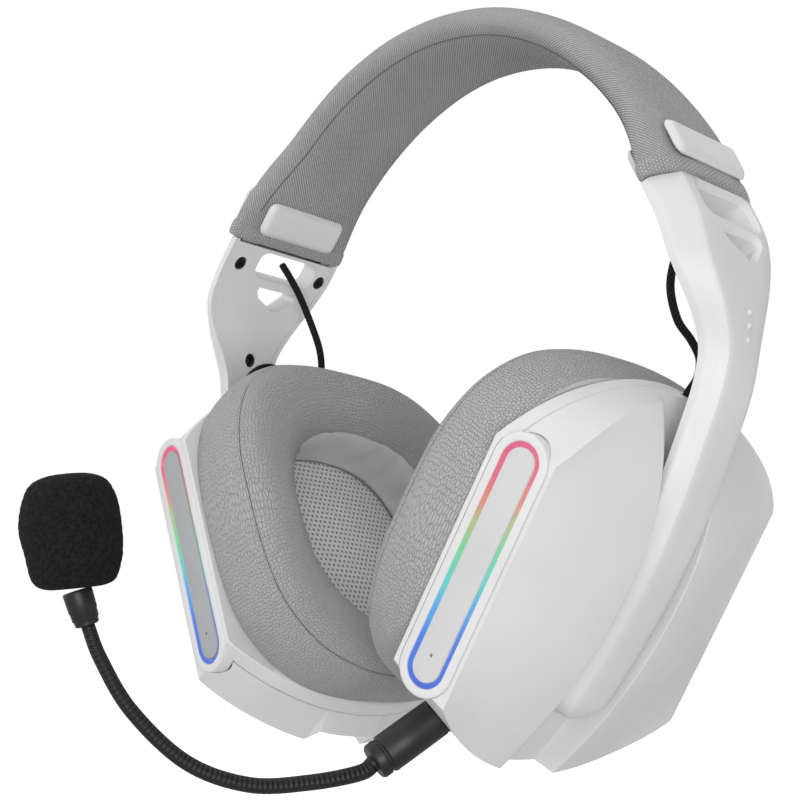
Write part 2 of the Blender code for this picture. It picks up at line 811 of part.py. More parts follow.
def cable_entry(v):
    """Where a cable enters the cup's top, with Z up out of the cup."""
    return CUP @ Matrix(((0, 1, 0, -1.6), (1, 0, 0, v), (0, 0, 1, top_edge(v)), (0, 0, 0, 1)))


LEFT_ENTRY_V = 2.0
RIGHT_ENTRY_V = -15.0
POWER_BUTTON_W = 17.0
MUTE_BUTTON_W = 6.0
WHEEL_W = -8.0
PORT_W = -24.0
CONTROL_N = 1.2
BUTTON_RADIUS = 3.0
WHEEL_RADIUS = 7.0
WHEEL_DEPTH = -5.8


def build_cups(headset):
    stem_hole = prism(box_outline(-3.9, 3.9, -3.0, 3.0), -9.0, -1.0, pivot_frame())
    plain = carve(cup_shell(), light_notch(), stem_hole)
    right_shell = carve(plain.copy(), cable_hole(RIGHT_ENTRY_V))
    controls = [cylinder(BUTTON_RADIUS + GAP, -5.0, 4.0, rear_facet(CONTROL_N, w))
                for w in (POWER_BUTTON_W, MUTE_BUTTON_W)]
    controls.append(prism(box_outline(-2.1, 2.1, -6.4, 6.4), -5.0, 4.0, rear_facet(CONTROL_N, WHEEL_W)))
    controls.append(prism(rounded_rectangle(3.8, 9.6, 1.8), -5.0, 4.0, rear_facet(CONTROL_N, PORT_W)))
    pocket = cylinder(5.2, -6.0, 12.0, mic_frame(), 20)
    left_shell = carve(plain, cable_hole(LEFT_ENTRY_V), pocket.copy(), *controls)
    headset.add_piece("left_cup_shell", "left_cup", left_shell, WHITE, 0.42)
    headset.add_piece("right_cup_shell", "right_cup", right_shell, WHITE, 0.42, side=RIGHT)

    base = carve(rim_block(RIM_LEVEL, PARTING_LEVEL - GAP, 0.0), rim_block(-7.0, 0.0, 2.2), light_notch(),
                 cylinder(18.8, -15.0, 0.0, plan_frame(), 32))
    headset.add_piece("right_cup_base", "right_cup", base.copy(), WHITE, 0.42, side=RIGHT)
    headset.add_piece("left_cup_base", "left_cup", carve(base, pocket), WHITE, 0.42)

    border = LIGHT_RADIUS + BEZEL_BORDER
    bezel = stadium_ring(border, LIGHT_RADIUS + 0.2, -3.2, 0.35)
    headset.add_pair("light_bezel", "cup", bezel, WHITE, 0.4)
    inner_radius = LIGHT_RADIUS - LIGHT_STRIP
    guide = stadium_ring(LIGHT_RADIUS, inner_radius, -3.0, 0.1)
    headset.add_pair("light_ring", "cup", guide, (0.5, 0.8, 0.9), 0.3)
    insert = prism(stadium(inner_radius - 0.2, LIGHT_HALF_LENGTH), -3.0, 0.35, front_facet())
    headset.add_pair("light_insert", "cup", insert, (0.6, 0.6, 0.61), 0.45)
    board = prism(stadium(LIGHT_RADIUS - 0.4, LIGHT_HALF_LENGTH), -4.6, -3.4, front_facet())
    headset.add_pair("light_board", "cup", board, BOARD_GREEN, 0.5)

    driver = turned([(21.0, -6.7), (21.0, -5.5), (16.0, -2.6), (10.5, -2.0), (10.5, 2.5)], plan_frame(), 32)
    headset.add_pair("driver", "cup", driver, (0.12, 0.12, 0.13), 0.4, 0.7)
    cone = turned([(17.6, -8.2), (17.6, -7.7), (8.0, -7.1)], plan_frame(), 32)
    headset.add_pair("diaphragm", "cup", cone, (0.75, 0.75, 0.7), 0.4)
    cloth = prism(opening_outline(0.8), -10.2, -9.5, plan_frame())
    headset.add_pair("speaker_cloth", "cup", cloth, GREY_CLOTH, 0.95)
    headset.add_pair("ear_cushion", "cup", ear_cushion(), GREY_CLOTH, 0.95)

    headset.add_pair("pivot_block", "cup", pivot_block(), BLACK, 0.5)


def pivot_block():
    """A stem through the channel's floor that ends in the knuckle round the pivot pin."""
    half = KNUCKLE_LENGTH / 2
    outline = [(-2.4, -7.8), (2.4, -7.8), (2.4, -1.0)]
    for step in range(9):
        angle = math.radians(-20 + 220 * step / 8)
        outline.append((KNUCKLE_RADIUS * math.cos(angle), KNUCKLE_RADIUS * math.sin(angle)))
    outline.append((-2.4, -1.0))
    middle = (ARM_BEAM_FRONT + ARM_BEAM_REAR) / 2
    place = CUP @ Matrix(((0, 1, 0, PIVOT_N), (0, 0, 1, middle), (1, 0, 0, PIVOT_W), (0, 0, 0, 1)))
    stem = prism(outline, -half, half, place)
    return carve(stem, cylinder(PIN_RADIUS + 0.2, -9.0, 9.0, pin_frame()))


def build_controls(headset):
    for name, w in (("power_button", POWER_BUTTON_W), ("mute_button", MUTE_BUTTON_W)):
        profile = [(3.9, -3.3), (3.9, -2.6), (BUTTON_RADIUS, -2.6), (BUTTON_RADIUS, 0.9), (2.6, 1.2)]
        headset.add_piece(name, name, turned(profile, rear_facet(CONTROL_N, w), 20), WHITE, 0.45)
    axle = rear_facet(CONTROL_N, WHEEL_W) @ Matrix.Translation((0, 0, WHEEL_DEPTH)) @ Matrix.Rotation(
        math.radians(90), 4, "Y")
    ridges = []
    for index in range(48):
        angle = 2 * math.pi * index / 48
        radius = WHEEL_RADIUS - (0.35 if index % 2 else 0.0)
        ridges.append((radius * math.cos(angle), radius * math.sin(angle)))
    headset.add_piece("volume_wheel", "volume_wheel", prism(ridges, -1.7, 1.7, axle), BLACK, 0.6)

    port = carve(prism(rounded_rectangle(3.2, 9.0, 1.5), -7.5, -0.3, rear_facet(CONTROL_N, PORT_W)),
                 prism(rounded_rectangle(2.6, 8.4, 1.2), -6.5, 3.0, rear_facet(CONTROL_N, PORT_W)))
    headset.add_piece("charging_port", "left_cup", port, STEEL, 0.3, 1.0)
    board = prism(box_outline(23.5, 32.5, -24.0, 24.0), -6.0, -4.8, plan_frame())
    headset.add_piece("circuit_board", "left_cup", board, BOARD_GREEN, 0.5)
    cell = prism(rounded_rectangle(11.0, 36.0, 1.5), -6.0, -1.5, plan_frame(30.0, 0.0))
    headset.add_piece("battery", "right_cup", cell, (0.1, 0.2, 0.45), 0.4, side=RIGHT)
    socket = turned_ring([(2.0, -10.0), (4.8, -10.0), (4.8, -0.6), (2.0, -0.6)], mic_frame(), 20)
    headset.add_piece("mic_socket", "left_cup", socket, BLACK, 0.5)


# ---------------------------------------------------------------- microphone

NECK_ROUTE = [(16.4, -61.2, -53.5), (9.3, -73.5, -54.8), (1.8, -86.4, -50.7), (-5.0, -98.3, -40.1),
              (-9.2, -105.4, -29.0)]
COLLAR_BASE = (-11.0, -108.7, -21.7)
COLLAR_TOP = (-12.7, -111.5, -14.1)
FOAM_TOP = (-15.2, -116.0, 12.0)
BEND_POINT = (5.8, -79.5, -53.6)
PLUG_END = 18.9


def below_cup_height(point):
    """Turn a point given from the cups' height into the headset's own coordinates."""
    return Vector((point[0], point[1], point[2] + CUP_CENTRE.z))


def neck_path():
    plug = mic_frame()
    start = plug @ Vector((0, 0, PLUG_END + 0.6))
    lead = plug @ Vector((0, 0, PLUG_END + 4.0))
    end = below_cup_height(COLLAR_BASE)
    axis = (below_cup_height(COLLAR_TOP) - end).normalized()
    points = [start, lead] + [below_cup_height(point) for point in NECK_ROUTE] + [end - axis * 0.5]
    return smooth_path(points, 4)


def tube(path, radius, sides):
    """A round tube along a path, its rings square to the path."""
    rings = []
    across = Vector((1, 0, 0))
    for index, point in enumerate(path):
        before, after = path[max(index - 1, 0)], path[min(index + 1, len(path) - 1)]
        tangent = (after - before).normalized()
        across = (across - tangent * across.dot(tangent)).normalized()
        other = tangent.cross(across)
        ring = []
        for side in range(sides):
            angle = 2 * math.pi * side / sides
            ring.append(point + (across * math.cos(angle) + other * math.sin(angle)) * radius)
        rings.append(ring)
    return loft(rings)


def build_microphone(headset):
    place = mic_frame()
    body = turned([(4.2, -0.2), (4.8, 0.3), (4.8, PLUG_END - 0.6), (4.2, PLUG_END)], place, 20)
    headset.add_piece("mic_plug", "mic_plug", body, BLACK, 0.45)
    jack = turned([(1.2, -12.5), (1.75, -11.5), (1.75, -0.5)], place, 12)
    headset.add_piece("mic_jack", "mic_plug", jack, (0.8, 0.65, 0.3), 0.2, 1.0)
    neck = tube(neck_path(), NECK_DIAMETER / 2, 8)
    headset.add_piece("mic_gooseneck", "mic_plug", neck, BLACK, 0.4)

    base, top = below_cup_height(COLLAR_BASE), below_cup_height(COLLAR_TOP)
    collar_place = frame(base, (1, 0, 0), top - base)
    length = (top - base).length
    collar = turned([(2.7, 0.0), (3.1, 0.5), (3.5, length)], collar_place, 20)
    headset.add_piece("mic_collar", "mic_head", collar, BLACK, 0.4)
    foam_top = below_cup_height(FOAM_TOP)
    foam_place = frame(top, (1, 0, 0), foam_top - top)
    height = (foam_top - top).length
    capsule = turned([(4.8, 3.0), (4.8, 9.0)], foam_place, 20)
    headset.add_piece("mic_capsule", "mic_head", capsule, STEEL, 0.3, 1.0)
    outer = [(6.6, 1.0), (9.3, 2.2), (10.9, 6.5), (11.7, 12.5), (11.6, 17.0), (10.7, 21.2), (8.7, 24.4),
             (5.4, 26.1), (2.5, height)]
    pocket = [(5.1, 2.7), (5.1, 9.3)]
    shape = carve(turned(outer, foam_place, 24), turned(pocket, foam_place, 20),
                  cylinder(2.0, -3.0, 5.0, foam_place))
    headset.add_piece("mic_windscreen", "mic_head", shape, BLACK, 0.95)


# ---------------------------------------------------------------- cables

LEFT_CABLE = [(73.0, -2.8, 86.5), (70.0, -4.0, 81.5), (68.2, -3.8, 73.0), (68.6, -0.5, 65.0),
              (70.0, 4.0, 60.5), (72.0, 5.2, 56.0), (72.9, 3.6, 51.0)]
RIGHT_CABLE = [(73.0, -0.5, 86.5), (70.5, 2.0, 81.0), (68.5, 6.0, 73.0), (67.8, 10.0, 65.5),
               (67.8, 11.5, 59.0), (68.2, 10.0, 54.8), (69.3, 5.0, 54.2), (70.3, -2.0, 57.0),
               (71.3, -8.5, 57.2), (72.2, -13.5, 53.0)]


def build_cable(headset, name, body, side, route, entry_v):
    """A limp cable from the arm's upper window to the top of the cup."""
    start = arm_point(4.6, -1.5, -2.2)
    entry = cable_entry(entry_v)
    points = [start] + [below_cup_height(point) for point in route]
    points += [entry @ Vector((0, 0, 1.0)), entry @ Vector((0, 0, -2.5))]
    path = smooth_path(points, 2)
    data = bpy.data.curves.new(name, "CURVE")
    data.dimensions = "3D"
    data.bevel_depth = CABLE_DIAMETER / 2 * MM
    data.bevel_resolution = 2
    data.use_fill_caps = True
    spline = data.splines.new("POLY")
    spline.points.add(len(path) - 1)
    origin = headset.places[body]
    for target, point in zip(spline.points, path):
        world = Vector((point.x * side, point.y, point.z))
        target.co = (*((world - origin) * MM), 1.0)
    cable = bpy.data.objects.new(name, data)
    bpy.context.scene.collection.objects.link(cable)
    cable.parent = headset.empties[body]
    data.materials.append(make_material(name, BLACK, 0.8, 0.0))


# ---------------------------------------------------------------- the headset

def mirrored(point):
    return Vector((-point.x, point.y, point.z))


def main():
    clear_scene()
    headset = Headset()
    hem = hem_frame().translation
    pivot = pin_frame().translation
    headset.add_body("headband", (0, 0, 0))
    for side, place in (("left", Vector), ("right", mirrored)):
        headset.add_body(side + "_arm", place(hem), "headband")
        headset.add_body(side + "_cup", place(pivot), side + "_arm")
    headset.add_body("power_button", rear_facet(CONTROL_N, POWER_BUTTON_W).translation, "left_cup")
    headset.add_body("mute_button", rear_facet(CONTROL_N, MUTE_BUTTON_W).translation, "left_cup")
    wheel = rear_facet(CONTROL_N, WHEEL_W) @ Vector((0, 0, WHEEL_DEPTH))
    headset.add_body("volume_wheel", wheel, "left_cup")
    headset.add_body("mic_plug", mic_frame().translation, "left_cup")
    headset.add_body("mic_head", below_cup_height(BEND_POINT), "mic_plug")

    build_headband(headset)
    build_arms(headset)
    build_cups(headset)
    build_controls(headset)
    build_microphone(headset)
    build_cable(headset, "left_ear_cable", "left_arm", LEFT, LEFT_CABLE, LEFT_ENTRY_V)
    build_cable(headset, "right_ear_cable", "right_arm", RIGHT, RIGHT_CABLE, RIGHT_ENTRY_V)


main()
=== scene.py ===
"""The gaming headset's looks: fabric, foam, moulded plastic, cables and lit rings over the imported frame.

Lengths in the shape functions are millimetres; meshes are turned into metres when an object is made.
"""
import json
import math

import bmesh
import bpy
from mathutils import Matrix, Vector, kdtree, noise


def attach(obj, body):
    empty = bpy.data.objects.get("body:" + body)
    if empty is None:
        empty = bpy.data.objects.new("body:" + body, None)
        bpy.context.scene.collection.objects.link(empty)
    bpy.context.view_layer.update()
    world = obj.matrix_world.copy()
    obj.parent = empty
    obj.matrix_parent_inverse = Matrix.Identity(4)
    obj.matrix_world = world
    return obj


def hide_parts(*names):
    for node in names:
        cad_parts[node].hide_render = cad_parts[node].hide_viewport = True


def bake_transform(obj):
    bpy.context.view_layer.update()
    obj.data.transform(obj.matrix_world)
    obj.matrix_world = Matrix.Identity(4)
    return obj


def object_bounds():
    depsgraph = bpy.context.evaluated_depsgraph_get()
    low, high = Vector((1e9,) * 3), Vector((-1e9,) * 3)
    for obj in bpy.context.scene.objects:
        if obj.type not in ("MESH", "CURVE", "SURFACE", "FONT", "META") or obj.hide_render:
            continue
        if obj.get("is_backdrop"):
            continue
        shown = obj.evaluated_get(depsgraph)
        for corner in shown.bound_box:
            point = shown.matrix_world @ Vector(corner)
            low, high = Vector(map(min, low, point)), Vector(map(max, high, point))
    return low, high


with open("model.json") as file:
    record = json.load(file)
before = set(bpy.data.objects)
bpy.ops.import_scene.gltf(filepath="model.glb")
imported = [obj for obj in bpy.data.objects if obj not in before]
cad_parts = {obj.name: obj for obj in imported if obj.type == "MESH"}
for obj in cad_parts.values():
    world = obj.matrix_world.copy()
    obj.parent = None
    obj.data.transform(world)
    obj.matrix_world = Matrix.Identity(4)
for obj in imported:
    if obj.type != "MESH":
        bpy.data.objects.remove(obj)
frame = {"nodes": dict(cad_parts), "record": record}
cad_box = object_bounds()

MM = 0.001
LEFT, RIGHT = 1, -1
SIDE_NAMES = {LEFT: "left_", RIGHT: "right_"}

# Headband
BAND_HALF_SPAN = 95.6
BAND_RISE = 143.0
BAND_SQUARENESS = 2.05
BAND_WIDTH = 38.0
BAND_END_WIDTH = 45.0
BAND_END_SHIFT = -3.0
BAND_THICKNESS = 11.2
SLEEVE_END = 51.4
SLEEVE_FLARE_START = 35.0
PLATE_DEGREES = 47.3

# Arms
ARM_WALL = 1.6
ARM_BEAM_FRONT, ARM_BEAM_REAR = -12.0, 5.5
ARM_TOP_FRONT, ARM_TOP_REAR = -24.0, 18.0

# Ear cups, in their own frame: n outward, v rearward, w up
CUP_CENTRE = Vector((50.4, 0.0, -142.4))
CUP_TILT = math.radians(26.0)
CUP_FRONT = -46.5
CUP_PEAK = 19.2
CUP_SIDE_HEIGHT = 8.2
TOP_RADIUS, BOTTOM_RADIUS = 60.5, 70.0
TOP_EDGE, BOTTOM_EDGE, RIM_BOTTOM_EDGE = 50.5, -51.5, -46.0
RIM_FRONT, RIM_LEVEL, PARTING_LEVEL = -50.0, -9.0, -4.5
SHELL_WALL = 1.8
CHANNEL_FRONT, CHANNEL_REAR = -13.2, 6.7
FACET_LEAN = math.radians(9.5)
LIGHT_CENTRE = Vector((-0.2, -48.3, -1.0))
LIGHT_HALF_LENGTH = 26.3
LIGHT_RADIUS = 5.1
LIGHT_STRIP = 1.2
BEZEL_VISIBLE = 2.3
OPENING_V, OPENING_W = 29.0, 28.0
CUSHION_HALF_V, CUSHION_HALF_W = 49.6, 48.1
CUSHION_MEAN_RADIUS, CUSHION_HELD_ABOVE = 42.0, -11.5
SEAM_CORNER, FACE_END_CORNER = (0.968, -26.7), (0.045, -26.2)
CONTROL_N = 1.2
POWER_BUTTON_W, MUTE_BUTTON_W, WHEEL_W, PORT_W = 17.0, 6.0, -8.0, -24.0
BUTTON_HOLE_RADIUS, MIC_HOLE_RADIUS, CABLE_HOLE_RADIUS = 3.25, 5.2, 1.6
ENTRY_V = {LEFT: 2.0, RIGHT: -15.0}
CABLE_DIAMETER = 2.1


# ---------------------------------------------------------------- mesh helpers

def smoothstep(value):
    value = min(max(value, 0.0), 1.0)
    return value * value * (3 - 2 * value)


def mix(start, end, amount):
    return start + (end - start) * amount


def smooth_path(points, steps):
    """A Catmull-Rom curve through the points, with the given number of steps per span."""
    points = [Vector(point) for point in points]
    padded = [2 * points[0] - points[1]] + points + [2 * points[-1] - points[-2]]
    path = []
    for p0, p1, p2, p3 in zip(padded, padded[1:], padded[2:], padded[3:]):
        for step in range(steps):
            t = step / steps
            a = 2 * p1
            b = (p2 - p0) * t
            c = (2 * p0 - 5 * p1 + 4 * p2 - p3) * t * t
            d = (3 * p1 - p0 - 3 * p2 + p3) * t ** 3
            path.append((a + b + c + d) / 2)
    path.append(points[-1])
    return path


class Skin:
    """Collects a grid or loft with texture coordinates in millimetres and a material index per face."""

    def __init__(self):
        self.mesh = bmesh.new()
        self.uv = self.mesh.loops.layers.uv.new("UVMap")

    def loft(self, rings, closed_path=False, caps=True, u=None, slot=None):
        """Skin between closed rings of points. u has a coordinate per ring; slot picks a face's material."""
        count = len(rings[0])
        verts = [[self.mesh.verts.new(point) for point in ring] for ring in rings]
        u = u or running_lengths([ring[0] for ring in rings], closed_path)
        v = running_lengths(rings[len(rings) // 2], True)
        rows = len(rings) if closed_path else len(rings) - 1
        for row in range(rows):
            after = (row + 1) % len(rings)
            for column in range(count):
                beside = (column + 1) % count
                face = self.mesh.faces.new((verts[row][column], verts[row][beside],
                                            verts[after][beside], verts[after][column]))
                corners = ((row, column), (row, column + 1), (row + 1, column + 1), (row + 1, column))
                for loop, (r, c) in zip(face.loops, corners):
                    loop[self.uv].uv = (u[r], v[c])
                if slot:
                    face.material_index = slot(row, column)
        if caps and not closed_path:
            for ring in (verts[0], verts[-1]):
                face = self.mesh.faces.new(ring)
                for loop in face.loops:
                    loop[self.uv].uv = (loop.vert.co.x, loop.vert.co.z)


def running_lengths(points, closed):
    lengths = [0.0]
    following = list(points[1:]) + ([points[0]] if closed else [])
    for a, b in zip(points, following):
        lengths.append(lengths[-1] + (Vector(b) - Vector(a)).length)
    return lengths


def lofted(rings, **options):
    skin = Skin()
    skin.loft(rings, **options)
    return skin.mesh


def add_object(name, data):
    made = bpy.data.objects.new(name, data)
    bpy.context.scene.collection.objects.link(made)
    return made


def make_piece(name, mesh, body, materials, replaced=(), slot="white_plastic", side=LEFT, bevel=0.0, angle=32,
               segments=3, ride=True):
    """Turn a mesh in millimetres into an object in the row's frame that rides on a body."""
    bmesh.ops.transform(mesh, matrix=Matrix.Scale(MM, 4), verts=mesh.verts)
    if side == RIGHT:
        bmesh.ops.transform(mesh, matrix=Matrix.Scale(-1, 4, (1, 0, 0)), verts=mesh.verts)
    bmesh.ops.recalc_face_normals(mesh, faces=mesh.faces)
    data = bpy.data.meshes.new(name)
    mesh.to_mesh(data)
    mesh.free()
    made = add_object(name, data)
    for material in materials if isinstance(materials, (list, tuple)) else [materials]:
        data.materials.append(material)
    data.shade_smooth()
    if bevel:
        modifier = made.modifiers.new("edges", "BEVEL")
        modifier.width = bevel * MM
        modifier.segments = segments
        modifier.limit_method = "ANGLE"
        modifier.angle_limit = math.radians(angle)
        modifier.use_clamp_overlap = True
        modifier.harden_normals = True
    else:
        data.set_sharp_from_angle(angle=math.radians(40))
    if replaced:
        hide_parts(*replaced)
    if ride:
        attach(made, body)
    return made


def side_maker(side, part):
    """A make_piece for one side's arm or cup, where every name starts with the side's own."""
    prefix = SIDE_NAMES[side]

    def add(name, mesh, material, replaced=None, **options):
        nodes = [prefix + replaced] if replaced else ()
        return make_piece(prefix + name, mesh, prefix + part, material, nodes, side=side, **options)

    return add


def carve(mesh, *cutters):
    """Take cutters away from a mesh, one after another, keeping its texture coordinates."""
    for cutter in cutters:
        pair = []
        for name, solid in (("piece", mesh), ("tool", cutter)):
            bmesh.ops.recalc_face_normals(solid, faces=solid.faces)
            data = bpy.data.meshes.new(name)
            solid.to_mesh(data)
            solid.free()
            pair.append(add_object(name, data))
        modifier = pair[0].modifiers.new("cut", "BOOLEAN")
        modifier.operation = "DIFFERENCE"
        modifier.solver = "EXACT"
        modifier.object = pair[1]
        evaluated = pair[0].evaluated_get(bpy.context.evaluated_depsgraph_get())
        mesh = bmesh.new()
        mesh.from_mesh(evaluated.to_mesh())
        for used in pair:
            bpy.data.objects.remove(used, do_unlink=True)
    bmesh.ops.remove_doubles(mesh, verts=mesh.verts, dist=0.005)
    return mesh


def axes_at(origin, *axes):
    matrix = Matrix(axes).transposed().to_4x4()
    matrix.translation = Vector(origin)
    return matrix


def frame_at(origin, x_axis, z_axis):
    z_axis = Vector(z_axis).normalized()
    y_axis = z_axis.cross(Vector(x_axis)).normalized()
    return axes_at(origin, y_axis.cross(z_axis), y_axis, z_axis)


def stacked(outline, profile, place, **options):
    """Loft an outline through the (growth, level) pairs of a profile."""
    return lofted([[place @ Vector((*grown(x, y, outline, growth), level)) for x, y in outline]
                   for growth, level in profile], **options)


def prism(outline, low, high, place):
    return stacked(outline, ((0, low), (0, high)), place)


def grown(x, y, outline, amount):
    width = max(abs(px) for px, _ in outline)
    height = max(abs(py) for _, py in outline)
    return x * (1 + amount / width), y * (1 + amount / height)


def turned(profile, place, sides=48, **options):
    """Turn a profile of (radius, height) pairs round the frame's Z axis."""
    angles = [2 * math.pi * index / sides for index in range(sides)]
    circle = [(math.cos(angle), math.sin(angle)) for angle in angles]
    return lofted([[place @ Vector((radius * x, radius * y, height)) for x, y in circle]
                   for radius, height in profile], **options)


def rod(radius, low, high, place, sides=48):
    return turned([(radius, low), (radius, high)], place, sides)


def rounded_rectangle(width, height, radius, steps=6):
    points = []
    for quarter, (sx, sy) in enumerate(((1, 1), (-1, 1), (-1, -1), (1, -1))):
        for step in range(steps + 1):
            angle = math.radians(90 * (quarter + step / steps))
            x = sx * (width / 2 - radius) + radius * math.cos(angle)
            y = sy * (height / 2 - radius) + radius * math.sin(angle)
            points.append((x, y))
    return points


def stadium(radius, half_length, steps=16):
    points = []
    for side in (1, -1):
        for step in range(steps + 1):
            angle = math.pi * step / steps + (0 if side == 1 else math.pi)
            points.append((radius * math.cos(angle), side * half_length + radius * math.sin(angle)))
    return points


def join(*meshes):
    """Several meshes as one."""
    joined = bmesh.new()
    joined.loops.layers.uv.new("UVMap")
    for mesh in meshes:
        data = bpy.data.meshes.new("part")
        mesh.to_mesh(data)
        mesh.free()
        joined.from_mesh(data)
        bpy.data.meshes.remove(data)
    return joined


# ---------------------------------------------------------------- the headset's curves

def band_curve(degrees):
    def place(angle):
        sine, cosine = math.sin(angle), math.cos(angle)
        power = 2 / BAND_SQUARENESS
        x = BAND_HALF_SPAN * math.copysign(abs(sine) ** power, sine)
        z = BAND_THICKNESS / 2 - BAND_RISE + BAND_RISE * abs(cosine) ** power
        return Vector((x, 0, z))
    angle = math.radians(degrees)
    point = place(angle)
    tangent = (place(angle + 0.001) - place(angle - 0.001)).normalized()
    return point, Vector((-tangent.z, 0, tangent.x)), tangent


def band_point(degrees, y, offset):
    point, normal, _ = band_curve(degrees)
    return point + normal * offset + Vector((0, y, 0))


def band_width_at(degrees):
    flare = smoothstep((abs(degrees) - SLEEVE_FLARE_START) / (SLEEVE_END - SLEEVE_FLARE_START))
    return mix(BAND_WIDTH, BAND_END_WIDTH, flare), BAND_END_SHIFT * flare


def make_arm_path():
    start, _, _ = band_curve(SLEEVE_END)
    below_crown = [(82.0, 83.0), (87.4, 66.0), (87.5, 48.0), (83.0, 32.0), (76.0, 13.0),
                   (67.5, -4.5), (57.5, -21.0), (47.7, -35.3)]
    points = [start] + [Vector((x, 0, CUP_CENTRE.z + z)) for x, z in below_crown]
    path = smooth_path(points, 8)
    return path, running_lengths(path, False)


ARM_PATH, ARM_LENGTHS = make_arm_path()
ARM_LENGTH = ARM_LENGTHS[-1]


def arm_curve(distance):
    """Point, outward normal and downward tangent at a distance along the arm, smoothly interpolated."""
    index = 0
    while index < len(ARM_PATH) - 2 and ARM_LENGTHS[index + 1] < distance:
        index += 1
    part = (distance - ARM_LENGTHS[index]) / (ARM_LENGTHS[index + 1] - ARM_LENGTHS[index])
    point = ARM_PATH[index].lerp(ARM_PATH[index + 1], part)

    def direction(i):
        return (ARM_PATH[min(i + 1, len(ARM_PATH) - 1)] - ARM_PATH[max(i - 1, 0)]).normalized()

    tangent = direction(index).lerp(direction(index + 1), min(max(part, 0.0), 1.0)).normalized()
    return point, Vector((-tangent.z, 0, tangent.x)), tangent


def arm_point(distance, y, offset):
    point, normal, _ = arm_curve(distance)
    return point + normal * offset + Vector((0, y, 0))


def arm_frame(distance, y):
    point, normal, tangent = arm_curve(distance)
    return axes_at(point + Vector((0, y, 0)), Vector((0, 1, 0)), tangent, -normal)


def arm_edges(distance):
    front = mix(ARM_TOP_FRONT, ARM_BEAM_FRONT, smoothstep((distance - 18) / 28))
    rear = mix(ARM_TOP_REAR, ARM_BEAM_REAR, smoothstep((distance - 5) / 38))
    outer = mix(4.0, 1.5, smoothstep((distance - 15) / 45))
    inner = outer - mix(8.0, 6.8, smoothstep((distance - 15) / 45))
    tip = max(0.0, (distance - ARM_LENGTH + 7.0) / 7.0)
    middle = (front + rear) / 2
    narrowing = math.sqrt(max(1 - 0.9 * tip * tip, 0))
    front = middle + (front - middle) * narrowing
    rear = middle + (rear - middle) * narrowing
    return front, rear, outer - 3.0 * tip * tip, inner


def spaced(start, end, step):
    count = max(1, round((end - start) / step))
    return [mix(start, end, index / count) for index in range(count + 1)]


CUP = axes_at(CUP_CENTRE, (math.cos(CUP_TILT), 0, -math.sin(CUP_TILT)), (0, 1, 0),
              (math.sin(CUP_TILT), 0, math.cos(CUP_TILT)))


def on_cup(n, v, w):
    return CUP @ Vector((n, v, w))


def plan_frame(v=0.0, w=0.0):
    return CUP @ Matrix(((0, 0, 1, 0), (1, 0, 0, v), (0, 1, 0, w), (0, 0, 0, 1)))


def front_facet():
    cosine, sine = math.cos(FACET_LEAN), math.sin(FACET_LEAN)
    c = LIGHT_CENTRE
    return CUP @ Matrix(((cosine, 0, sine, c.x), (sine, 0, -cosine, c.y), (0, 1, 0, c.z), (0, 0, 0, 1)))


def rear_facet(n, w):
    cosine, sine = math.cos(FACET_LEAN), math.sin(FACET_LEAN)
    v = -LIGHT_CENTRE.y - (n - LIGHT_CENTRE.x) * math.tan(FACET_LEAN)
    return CUP @ Matrix(((cosine, 0, sine, n), (-sine, 0, cosine, v), (0, -1, 0, w), (0, 0, 0, 1)))


def top_edge(v):
    return TOP_EDGE - TOP_RADIUS + math.sqrt(TOP_RADIUS ** 2 - v * v)


def bottom_edge(v):
    return BOTTOM_EDGE + BOTTOM_RADIUS - math.sqrt(BOTTOM_RADIUS ** 2 - v * v)


def face_height(v, w):
    along = 13.0 * ((w - 5) / 42) ** 2.3 if w > 5 else 12.0 * ((5 - w) / 56.5) ** 2
    across = (CUP_PEAK - CUP_SIDE_HEIGHT) * (v / CUP_FRONT) ** 2
    return CUP_PEAK - across - along * (1 - (v / CUP_FRONT) ** 4)


def channel_floor(w):
    if w > -6:
        return 8.8 - 7.2 * ((w + 6) / 56) ** 2
    return 8.8 - 8.0 * ((w + 6) / 46) ** 2


def rim_point(v, w, level):
    down = (CUP_SIDE_HEIGHT - level) / (CUP_SIDE_HEIGHT - RIM_LEVEL)
    stretch = mix(1.0, RIM_FRONT / CUP_FRONT, down)
    bottom = mix(1.0, RIM_BOTTOM_EDGE / BOTTOM_EDGE, down)
    return v * stretch, w if w > 0 else w * bottom


def superellipse(angle, half_v, half_w, exponent):
    cosine, sine = math.cos(angle), math.sin(angle)
    power = 2 / exponent
    return (half_v * math.copysign(abs(cosine) ** power, cosine),
            half_w * math.copysign(abs(sine) ** power, sine))


def mic_frame():
    return frame_at(on_cup(-1.2, -35.2, -40.9), CUP.to_3x3() @ Vector((1, 0, 0)),
                    CUP.to_3x3() @ Vector((-0.08, -0.676, -0.736)))


def cable_entry(v):
    return CUP @ Matrix(((0, 1, 0, -1.6), (1, 0, 0, v), (0, 0, 1, top_edge(v)), (0, 0, 0, 1)))


def below(point):
    return Vector((point[0], point[1], point[2] + CUP_CENTRE.z))


# ---------------------------------------------------------------- camera and stage

CAMERA_PLACE = (0.3116, -0.3539, -0.1600)
CAMERA_ANGLES = (43.4, -7.6, 5.0)      # azimuth, elevation and roll in degrees
LENS = 78.75
FLOOR_LEVEL, FLOOR_HALF_SIZE = -0.62, 60.0
FLOOR_NEAR, FLOOR_FAR = 1.0, 4.2       # the floor pales between these distances from the object
WORLD_LIGHT, SHADE_LIGHT = 1.0, 0.16
SHADE_DIRECTION = (0.88, 0.38, -0.28)
# Name, place, target, size and power
LAMPS = (("key", (0.82, -0.80, -0.30), (0, 0, -0.1), 0.6, 7.4),
         ("fill", (-0.9, -0.8, 0.2), (0, 0, -0.12), 0.9, 1.5),
         ("top", (0.1, 0.0, 1.1), (0, 0, -0.1), 0.8, 2.2))


